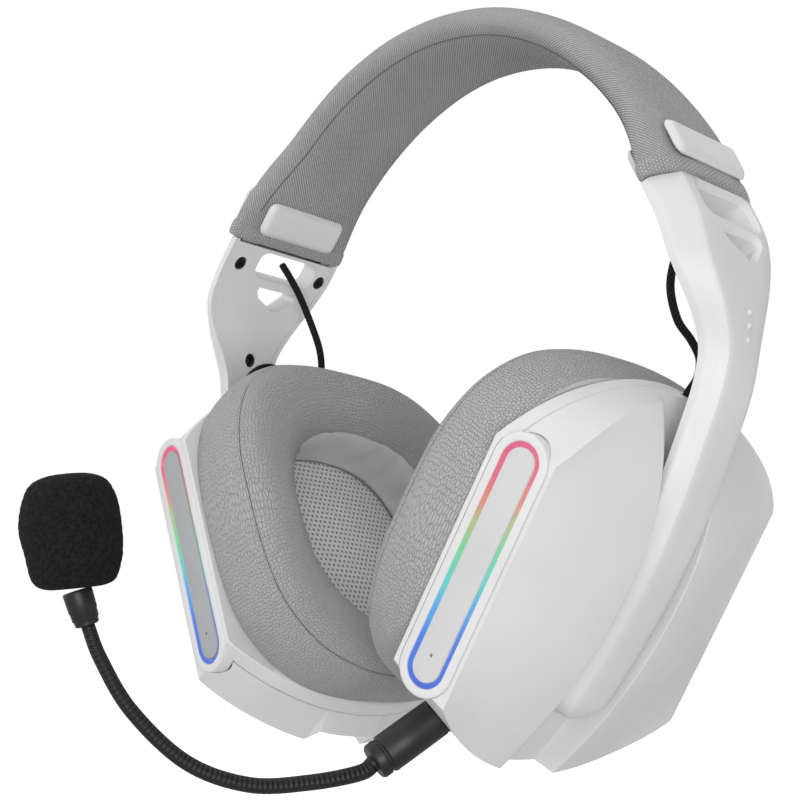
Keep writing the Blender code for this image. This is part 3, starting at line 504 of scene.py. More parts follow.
def make_camera():
    azimuth, elevation, roll = (math.radians(angle) for angle in CAMERA_ANGLES)
    back = Vector((math.sin(azimuth) * math.cos(elevation), -math.cos(azimuth) * math.cos(elevation),
                   math.sin(elevation)))
    forward = -back
    right = forward.cross(Vector((0, 0, 1))).normalized()
    up = right.cross(forward)
    turned_right = right * math.cos(roll) + up * math.sin(roll)
    turned_up = -right * math.sin(roll) + up * math.cos(roll)
    data = bpy.data.cameras.new("camera")
    data.sensor_width = 36.0
    data.lens = LENS
    data.clip_start = 0.01
    camera = add_object("camera", data)
    camera.matrix_world = axes_at(CAMERA_PLACE, turned_right, turned_up, back)
    bpy.context.scene.camera = camera


def add_light(name, place, target, size, power):
    data = bpy.data.lights.new(name, "AREA")
    data.energy = power
    data.size = size
    lamp = add_object(name, data)
    lamp.visible_camera = False
    lamp.location = place
    lamp.rotation_mode = "QUATERNION"
    lamp.rotation_quaternion = (Vector(target) - Vector(place)).to_track_quat("-Z", "Y")


def make_world():
    """White all round to the camera, but with one dim side in the light it gives, which shades the shapes."""
    world = bpy.data.worlds.new("studio")
    world.use_nodes = True
    nodes, links = world.node_tree.nodes, world.node_tree.links
    background = nodes["Background"]
    direction = nodes.new("ShaderNodeTexCoord")
    facing = nodes.new("ShaderNodeVectorMath")
    facing.operation = "DOT_PRODUCT"
    facing.inputs[1].default_value = Vector(SHADE_DIRECTION).normalized()
    links.new(direction.outputs["Generated"], facing.inputs[0])
    shade = nodes.new("ShaderNodeMapRange")
    shade.interpolation_type = "SMOOTHSTEP"
    shade.inputs["From Min"].default_value = -0.1
    shade.inputs["From Max"].default_value = 0.65
    shade.inputs["To Min"].default_value = WORLD_LIGHT
    shade.inputs["To Max"].default_value = SHADE_LIGHT
    links.new(facing.outputs["Value"], shade.inputs["Value"])
    background.inputs["Color"].default_value = (1, 1, 1, 1)
    backdrop = nodes.new("ShaderNodeMapRange")
    backdrop.inputs["To Max"].default_value = WORLD_LIGHT
    links.new(nodes.new("ShaderNodeLightPath").outputs["Is Camera Ray"], backdrop.inputs["Value"])
    links.new(shade.outputs["Result"], backdrop.inputs["To Min"])
    links.new(backdrop.outputs["Result"], background.inputs["Strength"])
    bpy.context.scene.world = world


def make_stage():
    make_world()
    bpy.context.scene.view_settings.view_transform = "Standard"
    data = bpy.data.meshes.new("floor")
    corners = [(x * FLOOR_HALF_SIZE, y * FLOOR_HALF_SIZE, FLOOR_LEVEL)
               for x, y in ((-1, -1), (1, -1), (1, 1), (-1, 1))]
    data.from_pydata(corners, [], [(0, 1, 2, 3)])
    floor = add_object("floor", data)
    look = Look("floor_paint", grey(0.9), 0.9)
    away = look.add("VectorMath", {0: look.coordinates.outputs["Object"]}, operation="LENGTH")
    # The floor's glow is painted light: its emission stands in for light bounced up from a lit floor. It is
    # weak within FLOOR_NEAR of the object and rises to white by FLOOR_FAR.
    far = look.spread(away.outputs["Value"], 0, 1, FLOOR_NEAR, FLOOR_FAR)
    mottled = look.total(far, (look.noise(3.0), 0.02))
    look.set("Base Color", look.colours(mottled, grey(0.07), grey(0.1)))
    look.fixed("Emission Color", (1, 1, 1, 1))
    look.set("Emission Strength", look.total((mottled, 0.7), 0.42))
    look.fixed("Specular IOR Level", 0.1)
    data.materials.append(look.material)
    floor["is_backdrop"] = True
    for lamp in LAMPS:
        add_light(*lamp)


# ---------------------------------------------------------------- materials

TWILL_PERIOD = 0.9                     # millimetres between the sleeve's ribs
DOT_SPACING, DOT_ROWS = 1.8, 1.5
RIB_PERIOD = 1.25                      # of the gooseneck's rings and the braid's strands
# Place along the strip, from bottom to top, and colour
LIGHT_COLOURS = ((0.0, (0.045, 0.13, 0.68)), (0.20, (0.05, 0.19, 0.78)), (0.34, (0.08, 0.38, 0.85)),
                 (0.45, (0.11, 0.66, 0.62)), (0.58, (0.18, 0.68, 0.32)), (0.68, (0.42, 0.56, 0.25)),
                 (0.76, (0.76, 0.27, 0.20)), (0.88, (0.80, 0.13, 0.21)), (1.0, (0.78, 0.11, 0.24)))
LIGHT_BOTTOM, LIGHT_TOP = -0.1738, -0.1140


def grey(level):
    return (level, level, level)


class Look:
    """A small builder for procedural materials."""

    def __init__(self, name, colour, roughness, metallic=0.0):
        self.material = bpy.data.materials.new(name)
        self.material.use_nodes = True
        self.nodes, self.links = self.material.node_tree.nodes, self.material.node_tree.links
        self.shader = self.nodes["Principled BSDF"]
        self.fixed("Base Color", (*colour, 1))
        self.fixed("Roughness", roughness)
        self.fixed("Metallic", metallic)
        self.coordinates = self.nodes.new("ShaderNodeTexCoord")

    def fixed(self, name, value):
        self.shader.inputs[name].default_value = value

    def add(self, kind, inputs=None, **settings):
        node = self.nodes.new("ShaderNode" + kind)
        for key, value in settings.items():
            setattr(node, key, value)
        for key, value in (inputs or {}).items():
            if isinstance(value, bpy.types.NodeSocket):
                self.links.new(value, node.inputs[key])
            else:
                node.inputs[key].default_value = value
        return node

    def math(self, operation, a, b=0.0):
        return self.add("Math", {0: a, 1: b}, operation=operation).outputs[0]

    def total(self, *parts):
        """The sum of the parts, where a (value, weight) pair is multiplied first."""
        terms = [self.math("MULTIPLY", *part) if isinstance(part, tuple) else part for part in parts]
        added = terms[0]
        for term in terms[1:]:
            added = self.math("ADD", added, term)
        return added

    def noise(self, scale, detail=3.0, roughness=0.55):
        return self.add("TexNoise", {"Vector": self.coordinates.outputs["Object"], "Scale": scale,
                                     "Detail": detail, "Roughness": roughness}).outputs["Fac"]

    def spread(self, value, low, high, from_low=0.0, from_high=1.0):
        return self.add("MapRange", {"Value": value, "From Min": from_low, "From Max": from_high,
                                     "To Min": low, "To Max": high}).outputs["Result"]

    def colours(self, value, dark, light):
        node = self.add("Mix", {0: value}, data_type="RGBA")
        node.inputs[6].default_value = (*dark, 1)
        node.inputs[7].default_value = (*light, 1)
        return node.outputs[2]

    def bump(self, height, distance, strength=0.9):
        """Relief of the given depth in millimetres."""
        node = self.add("Bump", {"Height": height, "Distance": distance * MM, "Strength": strength})
        self.set("Normal", node.outputs["Normal"])

    def set(self, name, socket):
        self.links.new(socket, self.shader.inputs[name])

    def tint(self, value, low, high, dark, light):
        """Base colour from dark to light as the value goes from low to high."""
        self.set("Base Color", self.colours(self.spread(value, 0, 1, low, high), dark, light))

    def uv(self):
        """U and V in millimetres."""
        split = self.add("SeparateXYZ", {0: self.coordinates.outputs["UV"]})
        return split.outputs[0], split.outputs[1]

    def wave(self, value, period, phase=0.0):
        """A sine between 0 and 1 with the given period."""
        angle = self.math("MULTIPLY_ADD", value, 2 * math.pi / period)
        angle.node.inputs[2].default_value = phase
        sine = self.math("SINE", angle)
        return self.spread(sine, 0, 1, -1, 1)


def plastic(name, colour, roughness=0.42, grain=0.03, shade=0.96, scale=1800.0):
    """Moulded plastic with a fine spark-eroded grain, slight marks and uneven gloss."""
    look = Look(name, colour, roughness)
    look.bump(look.noise(scale, 2.0), grain, 0.6)
    look.set("Roughness", look.spread(look.noise(220.0, 4.0), roughness - 0.05, roughness + 0.07, 0.3, 0.7))
    look.tint(look.noise(45.0, 4.0), 0.35, 0.65, tuple(channel * shade for channel in colour), colour)
    look.fixed("Specular IOR Level", 0.42)
    return look.material


def metal(name, colour, roughness=0.3):
    look = Look(name, colour, roughness, 1.0)
    look.set("Roughness", look.spread(look.noise(900.0), roughness - 0.08, roughness + 0.12))
    look.bump(look.noise(2600.0, 2.0), 0.01, 0.4)
    return look.material


def cloth_gloss(look, sheen):
    look.fixed("Sheen Weight", sheen)
    look.fixed("Specular IOR Level", 0.2)
    return look.material


def twill():
    """Grey twill: diagonal ribs made of small stitches, over a heathered yarn."""
    look = Look("sleeve_twill", grey(0.3), 0.92)
    u, v = look.uv()
    rib = look.wave(look.math("ADD", u, v), TWILL_PERIOD)
    thread = look.wave(look.math("SUBTRACT", u, look.math("MULTIPLY", v, 0.55)), TWILL_PERIOD * 0.46)
    weave = look.total((rib, 0.85), (thread, 0.25), (look.noise(900.0), 0.2))
    look.bump(weave, 0.22)
    tone = look.total((weave, 0.62), (look.noise(2400.0, 2.0), 0.35), (look.noise(30.0), 0.16))
    look.tint(tone, 0.25, 1.15, grey(0.15), grey(0.50))
    return cloth_gloss(look, 0.08)


def knit(name, dark, light, period_u, period_v, depth):
    """A plain woven or knitted cloth of the given thread spacing."""
    look = Look(name, light, 0.93)
    u, v = look.uv()
    row = look.math("FLOOR", look.math("DIVIDE", v, period_v))
    across = look.wave(look.total(u, (row, period_u / 2)), period_u)
    weave = look.total(look.math("MULTIPLY", across, look.wave(v, period_v)), (look.noise(1500.0), 0.5))
    look.bump(weave, depth)
    look.tint(look.total(weave, (look.noise(40.0), 0.25)), 0.2, 1.2, dark, light)
    return cloth_gloss(look, 0.2)


def crackle(name, dark, light, cell, depth, stretch=(1.0, 1.0)):
    """A honeycomb-like mesh cloth: irregular cells parted by thin lines."""
    look = Look(name, light, 0.92)
    vector = look.add("VectorMath", {0: look.coordinates.outputs["UV"]}, operation="MULTIPLY")
    vector.inputs[1].default_value = (stretch[0] / cell, stretch[1] / cell, 1.0)
    edges = look.add("TexVoronoi", {"Vector": vector.outputs[0], "Scale": 1.0, "Randomness": 0.75},
                     feature="DISTANCE_TO_EDGE", voronoi_dimensions="2D").outputs["Distance"]
    bars = look.spread(edges, 0, 1, 0.0, 0.14)
    rough = look.noise(1600.0)
    look.bump(look.total(bars, (rough, 0.9)), depth)
    look.tint(look.total((bars, 0.5), (rough, 0.75)), 0.1, 1.05, dark, light)
    return cloth_gloss(look, 0.08)


def dotted_cloth():
    """Pale speaker cloth with rows of small dark holes."""
    look = Look("speaker_mesh", (0.3, 0.3, 0.31), 0.95)
    u, v = look.uv()
    row = look.math("FLOOR", look.math("DIVIDE", v, DOT_ROWS))
    across = look.wave(look.total(u, (row, DOT_SPACING / 2)), DOT_SPACING)
    hole = look.spread(look.math("MULTIPLY", across, look.wave(v, DOT_ROWS, -math.pi / 2)), 0, 1, 0.35, 0.7)
    look.tint(look.total(hole, (look.noise(1500.0), 0.3)), 0.1, 1.2, grey(0.72), grey(0.24))
    look.bump(hole, -0.3, 0.8)
    return look.material


def foam(name, colour):
    """Open-cell foam: deep pits between round struts."""
    look = Look(name, colour, 0.95)
    pits = look.add("TexVoronoi", {"Vector": look.coordinates.outputs["Object"], "Scale": 1050.0})
    height = look.total((pits.outputs["Distance"], 0.9), (look.noise(2400.0, 4.0, 0.7), 0.8))
    look.bump(height, 0.5, 1.0)
    look.tint(height, 0.35, 1.2, colour, tuple(channel * 2.6 + 0.006 for channel in colour))
    look.fixed("Specular IOR Level", 0.15)
    return look.material


def braid():
    """Black braided sleeving: two sets of strands that cross."""
    look = Look("cable_braid", grey(0.02), 0.7)
    u, v = look.uv()
    one = look.wave(look.math("ADD", u, v), RIB_PERIOD)
    two = look.wave(look.math("SUBTRACT", u, v), RIB_PERIOD)
    weave = look.total(look.math("MAXIMUM", one, two), (look.noise(2200.0), 0.3))
    look.bump(weave, 0.25, 1.0)
    look.tint(weave, 0.5, 1.25, grey(0.003), grey(0.018))
    look.fixed("Specular IOR Level", 0.15)
    return look.material


def ribbed_rubber():
    look = Look("gooseneck_rubber", grey(0.010), 0.42)
    look.bump(look.wave(look.uv()[0], RIB_PERIOD), 0.2)
    look.fixed("Specular IOR Level", 0.3)
    look.set("Roughness", look.spread(look.noise(700.0), 0.34, 0.52))
    return look.material


def light_guide():
    """The lit strip, whose colour runs from blue at the bottom to pink at the top."""
    look = Look("light_guide", grey(0.03), 0.35)
    height = look.add("SeparateXYZ", {0: look.coordinates.outputs["Object"]}).outputs[2]
    ramp = look.add("ValToRGB", {"Fac": look.spread(height, 0, 1, LIGHT_BOTTOM, LIGHT_TOP)})
    ramp.color_ramp.interpolation = "EASE"
    elements = ramp.color_ramp.elements
    elements.remove(elements[-1])
    for index, (position, colour) in enumerate(LIGHT_COLOURS):
        element = elements[0] if index == 0 else elements.new(position)
        element.position = position
        element.color = (*colour, 1)
    look.set("Emission Color", ramp.outputs["Color"])
    look.fixed("Emission Strength", 0.9)
    look.set("Roughness", look.spread(look.noise(900.0), 0.3, 0.45))
    return look.material


# ---------------------------------------------------------------- headband

SEAM_POINT = 35                        # the sleeve's seam runs along this point of its section
SLEEVE_HELD_BEYOND = 68                # the cloth is fixed past this distance from the middle
# Degrees before the sleeve's end, and inset
HEM = ((2.1, 0.9), (2.05, 0.35), (1.9, 0.1), (1.6, -0.02), (1.1, -0.05), (0.6, 0.0), (0.2, 0.12),
       (0.03, 0.45), (0.0, 0.9), (0.1, 1.8), (1.5, 2.0))
PLATE_LENGTH, PLATE_WIDTH, PLATE_SHIFT = 30, 10.5, -4.0
PLATE_PROFILE = ((0.2, 0), (0.0, 0.4), (0.05, 0.7), (0.35, 1.0), (1.1, 1.7), (1.45, 1.85), (2.2, 1.9))


def band_section(degrees, inset, points=56):
    """The sleeve's cross-section: flat faces with full, soft edges that thin towards the hems."""
    width, shift = band_width_at(degrees)
    flare = smoothstep((abs(degrees) - 40.0) / (SLEEVE_END - 40.0))
    half_width, half_height = width / 2 - inset, BAND_THICKNESS / 2 - inset
    ring = []
    for index in range(points):
        angle = 2 * math.pi * index / points
        cosine, sine = math.cos(angle), math.sin(angle)
        y = half_width * math.copysign(abs(cosine) ** 0.55, cosine)
        z = half_height * math.copysign(abs(sine) ** 0.72, sine)
        edge = abs(y) / half_width
        z *= 1 - 0.16 * edge ** 4
        if z > 0:
            z *= 1 - 0.55 * flare * edge ** 6
        z -= 1.8 * flare * edge ** 6
        ring.append(band_point(degrees, shift + y, z))
    return ring


def build_headband(looks):
    angles = spaced(-SLEEVE_END + 0.1, SLEEVE_END - 0.1, 0.75)
    rings = []
    for angle in angles:
        ring = []
        for index, point in enumerate(band_section(angle, 0.4)):
            swell = noise.noise(Vector((angle * 0.11, index * 0.21, 3.1))) * 0.22
            outward = (point - band_point(angle, 0, 0)).normalized()
            ring.append(point + outward * swell)
        rings.append(ring)
    mesh = settle_cloth(lofted(rings), lambda point: abs(point.x) > SLEEVE_HELD_BEYOND)
    mesh.verts.ensure_lookup_table()
    seam_path = []
    for row, angle in enumerate(angles):
        if abs(angle) < SLEEVE_END - 4:
            on_seam = mesh.verts[row * len(rings[0]) + SEAM_POINT].co
            seam_path.append(on_seam - band_curve(angle)[1] * 0.1 - Vector((0, 0.06, 0)))
    sleeve = make_piece("band_sleeve_cloth", mesh, "headband", looks["twill"],
                        ["headband_sleeve", "headband_foam"], slot="grey_cloth")
    make_piece("sleeve_seam", tube(seam_path, 0.16, 6), "headband", looks["thread"], slot="grey_cloth")
    point, normal, _ = band_curve(PLATE_DEGREES)
    for side, name in SIDE_NAMES.items():
        rings = [band_section(SLEEVE_END - before_end, inset, 96) for before_end, inset in HEM]
        make_piece(name + "sleeve_hem", lofted(rings, caps=False), "headband", looks["hem"],
                   slot="grey_cloth", side=side)
        for kind, outward in (("plate_outer", 1), ("plate_inner", -1)):
            place = frame_at(point + Vector((0, PLATE_SHIFT, 0)), (0, 1, 0), normal * outward)
            rings = []
            for inset, level in PLATE_PROFILE:
                outline = rounded_rectangle(PLATE_LENGTH - 2 * inset, PLATE_WIDTH - 2 * inset,
                                            max(2.6 - inset, 0.9), 8)
                rings.append([place @ Vector((x, y, BAND_THICKNESS / 2 - 0.1 + level)) for x, y in outline])
            make_piece(name + kind + "_moulding", lofted(rings), "headband", looks["white"], [name + kind],
                       side=side)


# ---------------------------------------------------------------- cloth

CLOTH_FRAMES = 20
CLOTH_MOVE = 0.8                       # the furthest that a point may move, in millimetres
CLOTH_VOXEL = 4.5
CLOTH_SETTINGS = {"vertex_group_mass": "held", "use_pressure": True, "uniform_pressure_force": 4.0,
                  "quality": 6, "mass": 0.3, "tension_stiffness": 25.0, "compression_stiffness": 25.0,
                  "shear_stiffness": 8.0, "bending_stiffness": 2.0}


def settle_cloth(mesh, is_held):
    """Let a padded cloth fill out under a little pressure and give its shape to the fine mesh."""
    low_mesh = bpy.data.meshes.new("cloth_rest")
    mesh.to_mesh(low_mesh)
    low = add_object("cloth_rest", low_mesh)
    remesh = low.modifiers.new("remesh", "REMESH")
    remesh.mode = "VOXEL"
    remesh.voxel_size = CLOTH_VOXEL
    evaluated = low.evaluated_get(bpy.context.evaluated_depsgraph_get())
    rest = bpy.data.meshes.new_from_object(evaluated)
    bpy.data.objects.remove(low, do_unlink=True)
    before = [vertex.co.copy() for vertex in rest.vertices]
    # The solver works in metres.
    for vertex in rest.vertices:
        vertex.co = vertex.co * MM
    cloth = add_object("cloth_rest", rest)
    held = cloth.vertex_groups.new(name="held")
    held.add([index for index, point in enumerate(before) if is_held(point)], 1.0, "REPLACE")
    modifier = cloth.modifiers.new("cloth", "CLOTH")
    for key, value in CLOTH_SETTINGS.items():
        setattr(modifier.settings, key, value)
    modifier.settings.effector_weights.gravity = 0.0
    modifier.point_cache.frame_start = 1
    modifier.point_cache.frame_end = CLOTH_FRAMES
    scene = bpy.context.scene
    for step in range(1, CLOTH_FRAMES + 1):
        scene.frame_set(step)
    evaluated = cloth.evaluated_get(bpy.context.evaluated_depsgraph_get())
    settled = [vertex.co / MM for vertex in evaluated.data.vertices]
    scene.frame_set(1)
    tree = kdtree.KDTree(len(before))
    for index, point in enumerate(before):
        tree.insert(point, index)
    tree.balance()
    bpy.data.objects.remove(cloth, do_unlink=True)
    for vertex in mesh.verts:
        total, weight = Vector(), 0.0
        for _, index, distance in tree.find_n(vertex.co, 6):
            share = 1 / (distance + 0.5) ** 2
            total += (settled[index] - before[index]) * share
            weight += share
        move = total / weight
        if move.length > CLOTH_MOVE:
            move = move.normalized() * CLOTH_MOVE
        vertex.co += move
    return mesh


def tube(path, radius, sides):
    rings = []
    across = Vector((1, 0, 0.1)).normalized()
    for index, point in enumerate(path):
        before, after = path[max(index - 1, 0)], path[min(index + 1, len(path) - 1)]
        tangent = (after - before).normalized()
        across = (across - tangent * across.dot(tangent)).normalized()
        other = tangent.cross(across)
        size = radius(index / (len(path) - 1)) if callable(radius) else radius
        ring = []
        for side in range(sides):
            angle = 2 * math.pi * side / sides
            ring.append(point + (across * math.cos(angle) + other * math.sin(angle)) * size)
        rings.append(ring)
    return lofted(rings)


# ---------------------------------------------------------------- arms

LOWER_WINDOW = [(-7.5, -3.0), (6.5, -3.2), (7.6, -2.4), (7.4, -1.0), (3.0, 2.9), (0.5, 3.3), (-6.4, 0.3),
                (-7.7, -1.4)]
# Each window's outline and its centre, across and down the arm
WINDOWS = ((rounded_rectangle(23.0, 8.4, 3.0), (-0.5, 5.9)), (LOWER_WINDOW, (0.0, 16.4)))
# Growth and level, from the arm's outer face inwards
FUNNEL = ((3.6, -9.0), (2.2, -4.6), (1.3, -3.6), (0.6, -2.8), (0.1, -2.2), (0.0, -1.6), (0.0, 12.0))
WINDOW_WALL = ((0.9, -2.25), (0.9, 3.7), (-0.04, 3.7), (-0.04, -2.25))
ARM_SCREWS = ((-18.0, 7.3), (14.2, 6.6), (-3.5, 37.0))
SCREW_SLOT = [(-1.15, -0.2), (1.15, -0.2), (1.15, 0.2), (-1.15, 0.2)]
DOTS_DOWN, DOTS_Y = (33.5, 36.6, 39.9), -2.8
DOT_PROFILE = ((0.1, -0.62), (0.45, -0.54), (0.72, -0.32), (0.85, 0.0), (0.85, 0.6))


def arm_profile(distance):
    """The arm's section: a slanted front facet, a ridge, a crowned outer face and a rounded rear edge."""
    front, rear, outer, inner = arm_edges(distance)
    tall = outer - inner
    lip = min(2.2, 0.32 * tall)
    run = mix(6.6, 3.0, smoothstep((distance - 6) / 36)) * min(1.0, tall / 6.0)
    ridge = front + run
    points = [(front, inner), (front, inner + 0.7 * lip), (front + 0.12, inner + 0.9 * lip),
              (front + 0.4, inner + 1.1 * lip), (front + 0.9, inner + 1.35 * lip)]
    top = outer - 0.5
    for part in (0.35, 0.6, 0.82):
        points.append((mix(front + 0.9, ridge, part), mix(inner + 1.35 * lip, top, part ** 0.85)))
    points += [(ridge - 0.1, outer - 0.42), (ridge + 0.5, outer - 0.2), (ridge + 1.2, outer - 0.08)]
    for part in (0.15, 0.3, 0.45, 0.6, 0.72, 0.82):
        points.append((mix(ridge + 1.2, rear, part), outer - 0.6 * part ** 4))
    for part, rise in ((0.90, 0.90), (0.955, 0.80), (0.985, 0.66), (1.0, 0.45), (1.0, 0.0)):
        points.append((mix(ridge + 1.2, rear, part), mix(inner, outer, rise)))
    wall_front, wall_rear = front + ARM_WALL, rear - ARM_WALL
    roof = outer - ARM_WALL - 0.4
    points += [(wall_rear, inner), (wall_rear, roof - 2.2), (wall_rear - 1.6, roof),
               (ridge + 1.4, roof), (wall_front + 0.6, inner + 0.45 * lip + 0.4), (wall_front, inner)]
    return points


def build_arm(side, looks):
    add, white = side_maker(side, "arm"), looks["white"]
    windows = [(outline, arm_frame(down, y)) for outline, (y, down) in WINDOWS]
    rings = []
    for distance in spaced(0.05, ARM_LENGTH - 6, 1.6) + spaced(ARM_LENGTH - 5, ARM_LENGTH, 0.5):
        rings.append([arm_point(distance, y, level) for y, level in arm_profile(distance)])
    funnels = [stacked(outline, FUNNEL, place) for outline, place in windows]
    add("arm_moulding", carve(lofted(rings), *funnels), white, "arm_shell", bevel=0.3, angle=42)

    rings = []
    for distance in spaced(0.8, ARM_LENGTH - 10, 2.5):
        front, rear, _, inner = arm_edges(distance)
        front += ARM_WALL + 0.1
        rear -= ARM_WALL + 0.1
        profile = [(front, inner + 0.12), (rear, inner + 0.12), (rear, inner + 1.1), (front, inner + 1.1)]
        rings.append([arm_point(distance, y, level) for y, level in profile])
    wells = [rod(2.5, -1.0, 9.0, arm_frame(down, y), 32) for y, down in ARM_SCREWS]
    holes = [prism(outline, -12.0, 12.0, place) for outline, place in windows]
    add("arm_cover_moulding", carve(lofted(rings), *holes, *wells), white, "arm_cover", bevel=0.12, angle=38)
    walls = [stacked(outline, WINDOW_WALL, place, closed_path=True) for outline, place in windows]
    add("window_walls", join(*walls), white)

    for kind, (y, down) in zip(("front", "rear", "lower"), ARM_SCREWS):
        place = arm_frame(down, y)
        seat = -arm_edges(down)[3]
        head = turned([(0.8, -1.0), (0.8, seat - 1.1), (1.9, seat - 1.1), (1.95, seat - 0.6),
                       (1.6, seat - 0.25), (0.9, seat - 0.1)], place, 32)
        slots = [prism(SCREW_SLOT, seat - 0.75, seat + 1, place @ Matrix.Rotation(math.radians(turn), 4, "Z"))
                 for turn in (25, 115)]
        add("screw_" + kind, carve(head, *slots), looks["screw"], "arm_screw_" + kind, slot="black_metal",
            bevel=0.06, segments=2)
        well = turned([(2.05, seat - 1.6), (2.9, seat - 1.6), (2.9, seat - 0.25), (2.6, seat),
                       (2.2, seat - 0.1), (2.05, seat - 0.4)], place, 40, closed_path=True)
        add("screw_well_" + kind, well, white)

    dots = []
    for down in DOTS_DOWN:
        outer = arm_edges(down)[2]
        profile = [(radius, level - outer) for radius, level in DOT_PROFILE]
        dots.append(turned(profile, arm_frame(down, DOTS_Y), 20))
    add("arm_dots", join(*dots), white)


# ---------------------------------------------------------------- ear cups

CHANNEL_MARGIN, CHANNEL_EASE, CHANNEL_SINK = 0.8, 0.7, 0.45      # the channel's walls, and room under the arm
WHEEL_SLOT = [(-2.1, -6.4), (2.1, -6.4), (2.1, 6.4), (-2.1, 6.4)]
# Level and inset
BASE_PROFILE = ((RIM_LEVEL, 2.4), (RIM_LEVEL, 0.4), (RIM_LEVEL + 0.4, 0.0), (PARTING_LEVEL - 0.5, 0.0),
                (PARTING_LEVEL - 0.2, 0.3), (PARTING_LEVEL - 0.2, 2.4))


def cup_height(v, w):
    """The outer skin's height, with the arm's channel sunk into it between steep, rounded walls."""
    height = face_height(v, w)
    depth = smoothstep((v - CHANNEL_FRONT + CHANNEL_MARGIN) / CHANNEL_EASE)
    depth *= smoothstep((CHANNEL_REAR + CHANNEL_MARGIN - v) / CHANNEL_EASE)
    floor = min(channel_floor(w) - CHANNEL_SINK, height)
    return mix(height, floor, depth)


def cup_shell():
    """The outer shell, with its columns close together at the channel's walls."""
    columns_v = spaced(CUP_FRONT, -14.8, 2.0) + spaced(-14.1, -13.2, 0.15) + spaced(-12.5, 6.0, 2.0)
    columns_v += spaced(6.7, 7.6, 0.15) + spaced(8.3, -CUP_FRONT, 2.0)
    outer, inner = [], []
    rows = 56
    for wall, grid in ((0.0, outer), (SHELL_WALL, inner)):
        scale = 1 + wall / CUP_FRONT
        for v in columns_v:
            v *= scale
            low, high = bottom_edge(v) + wall, top_edge(v) - wall
            grid.append([(v, mix(low, high, row / rows)) for row in range(rows + 1)])
    mesh = bmesh.new()
    mesh.loops.layers.uv.new("UVMap")
    loops = []
    for wall, grid in ((0.0, outer), (SHELL_WALL, inner)):
        verts = [[mesh.verts.new(on_cup(cup_height(v, w) - wall, v, w)) for v, w in column]
                 for column in grid]
        for column in range(len(grid) - 1):
            for row in range(rows):
                mesh.faces.new((verts[column][row], verts[column][row + 1], verts[column + 1][row + 1],
                                verts[column + 1][row]))
        last = len(grid) - 1
        border = [(0, row) for row in range(rows)] + [(column, rows) for column in range(last)]
        border += [(last, row) for row in range(rows, 0, -1)] + [(column, 0) for column in range(last, 0, -1)]
        face_loop = [verts[column][row] for column, row in border]
        rim = []
        for column, row in border:
            v, w = rim_point(*grid[column][row], PARTING_LEVEL)
            rim.append(mesh.verts.new(on_cup(PARTING_LEVEL, v, w)))
        loops.append((face_loop, rim))
    (outer_face, outer_rim), (inner_face, inner_rim) = loops
    for first, second in ((outer_face, outer_rim), (outer_rim, inner_rim), (inner_rim, inner_face)):
        for a, b, c, d in zip(first, first[1:] + first[:1], second[1:] + second[:1], second):
            mesh.faces.new((a, b, c, d))
    bmesh.ops.recalc_face_normals(mesh, faces=mesh.faces)
    return mesh


def rim_outline(level, inset):
    columns = spaced(CUP_FRONT, -CUP_FRONT, 2.2)
    outline = [(v, top_edge(v)) for v in columns] + [(v, bottom_edge(v)) for v in reversed(columns)]
    placed = []
    for v, w in outline:
        v, w = rim_point(v, w, level)
        placed.append((v * (1 - inset / 50.0), w * (1 - inset / 49.0)))
    return placed


def light_notch():
    return prism(stadium(LIGHT_RADIUS + BEZEL_VISIBLE + 0.1, LIGHT_HALF_LENGTH), -6.0, 4.0, front_facet())


def stadium_loft(profile, closed_path=True):
    """A ring round the light bar from a closed (radius, level) profile, or a bar from an open one."""
    return lofted([[front_facet() @ Vector((x, y, level)) for x, y in stadium(radius, LIGHT_HALF_LENGTH)]
                   for radius, level in profile], closed_path=closed_path)


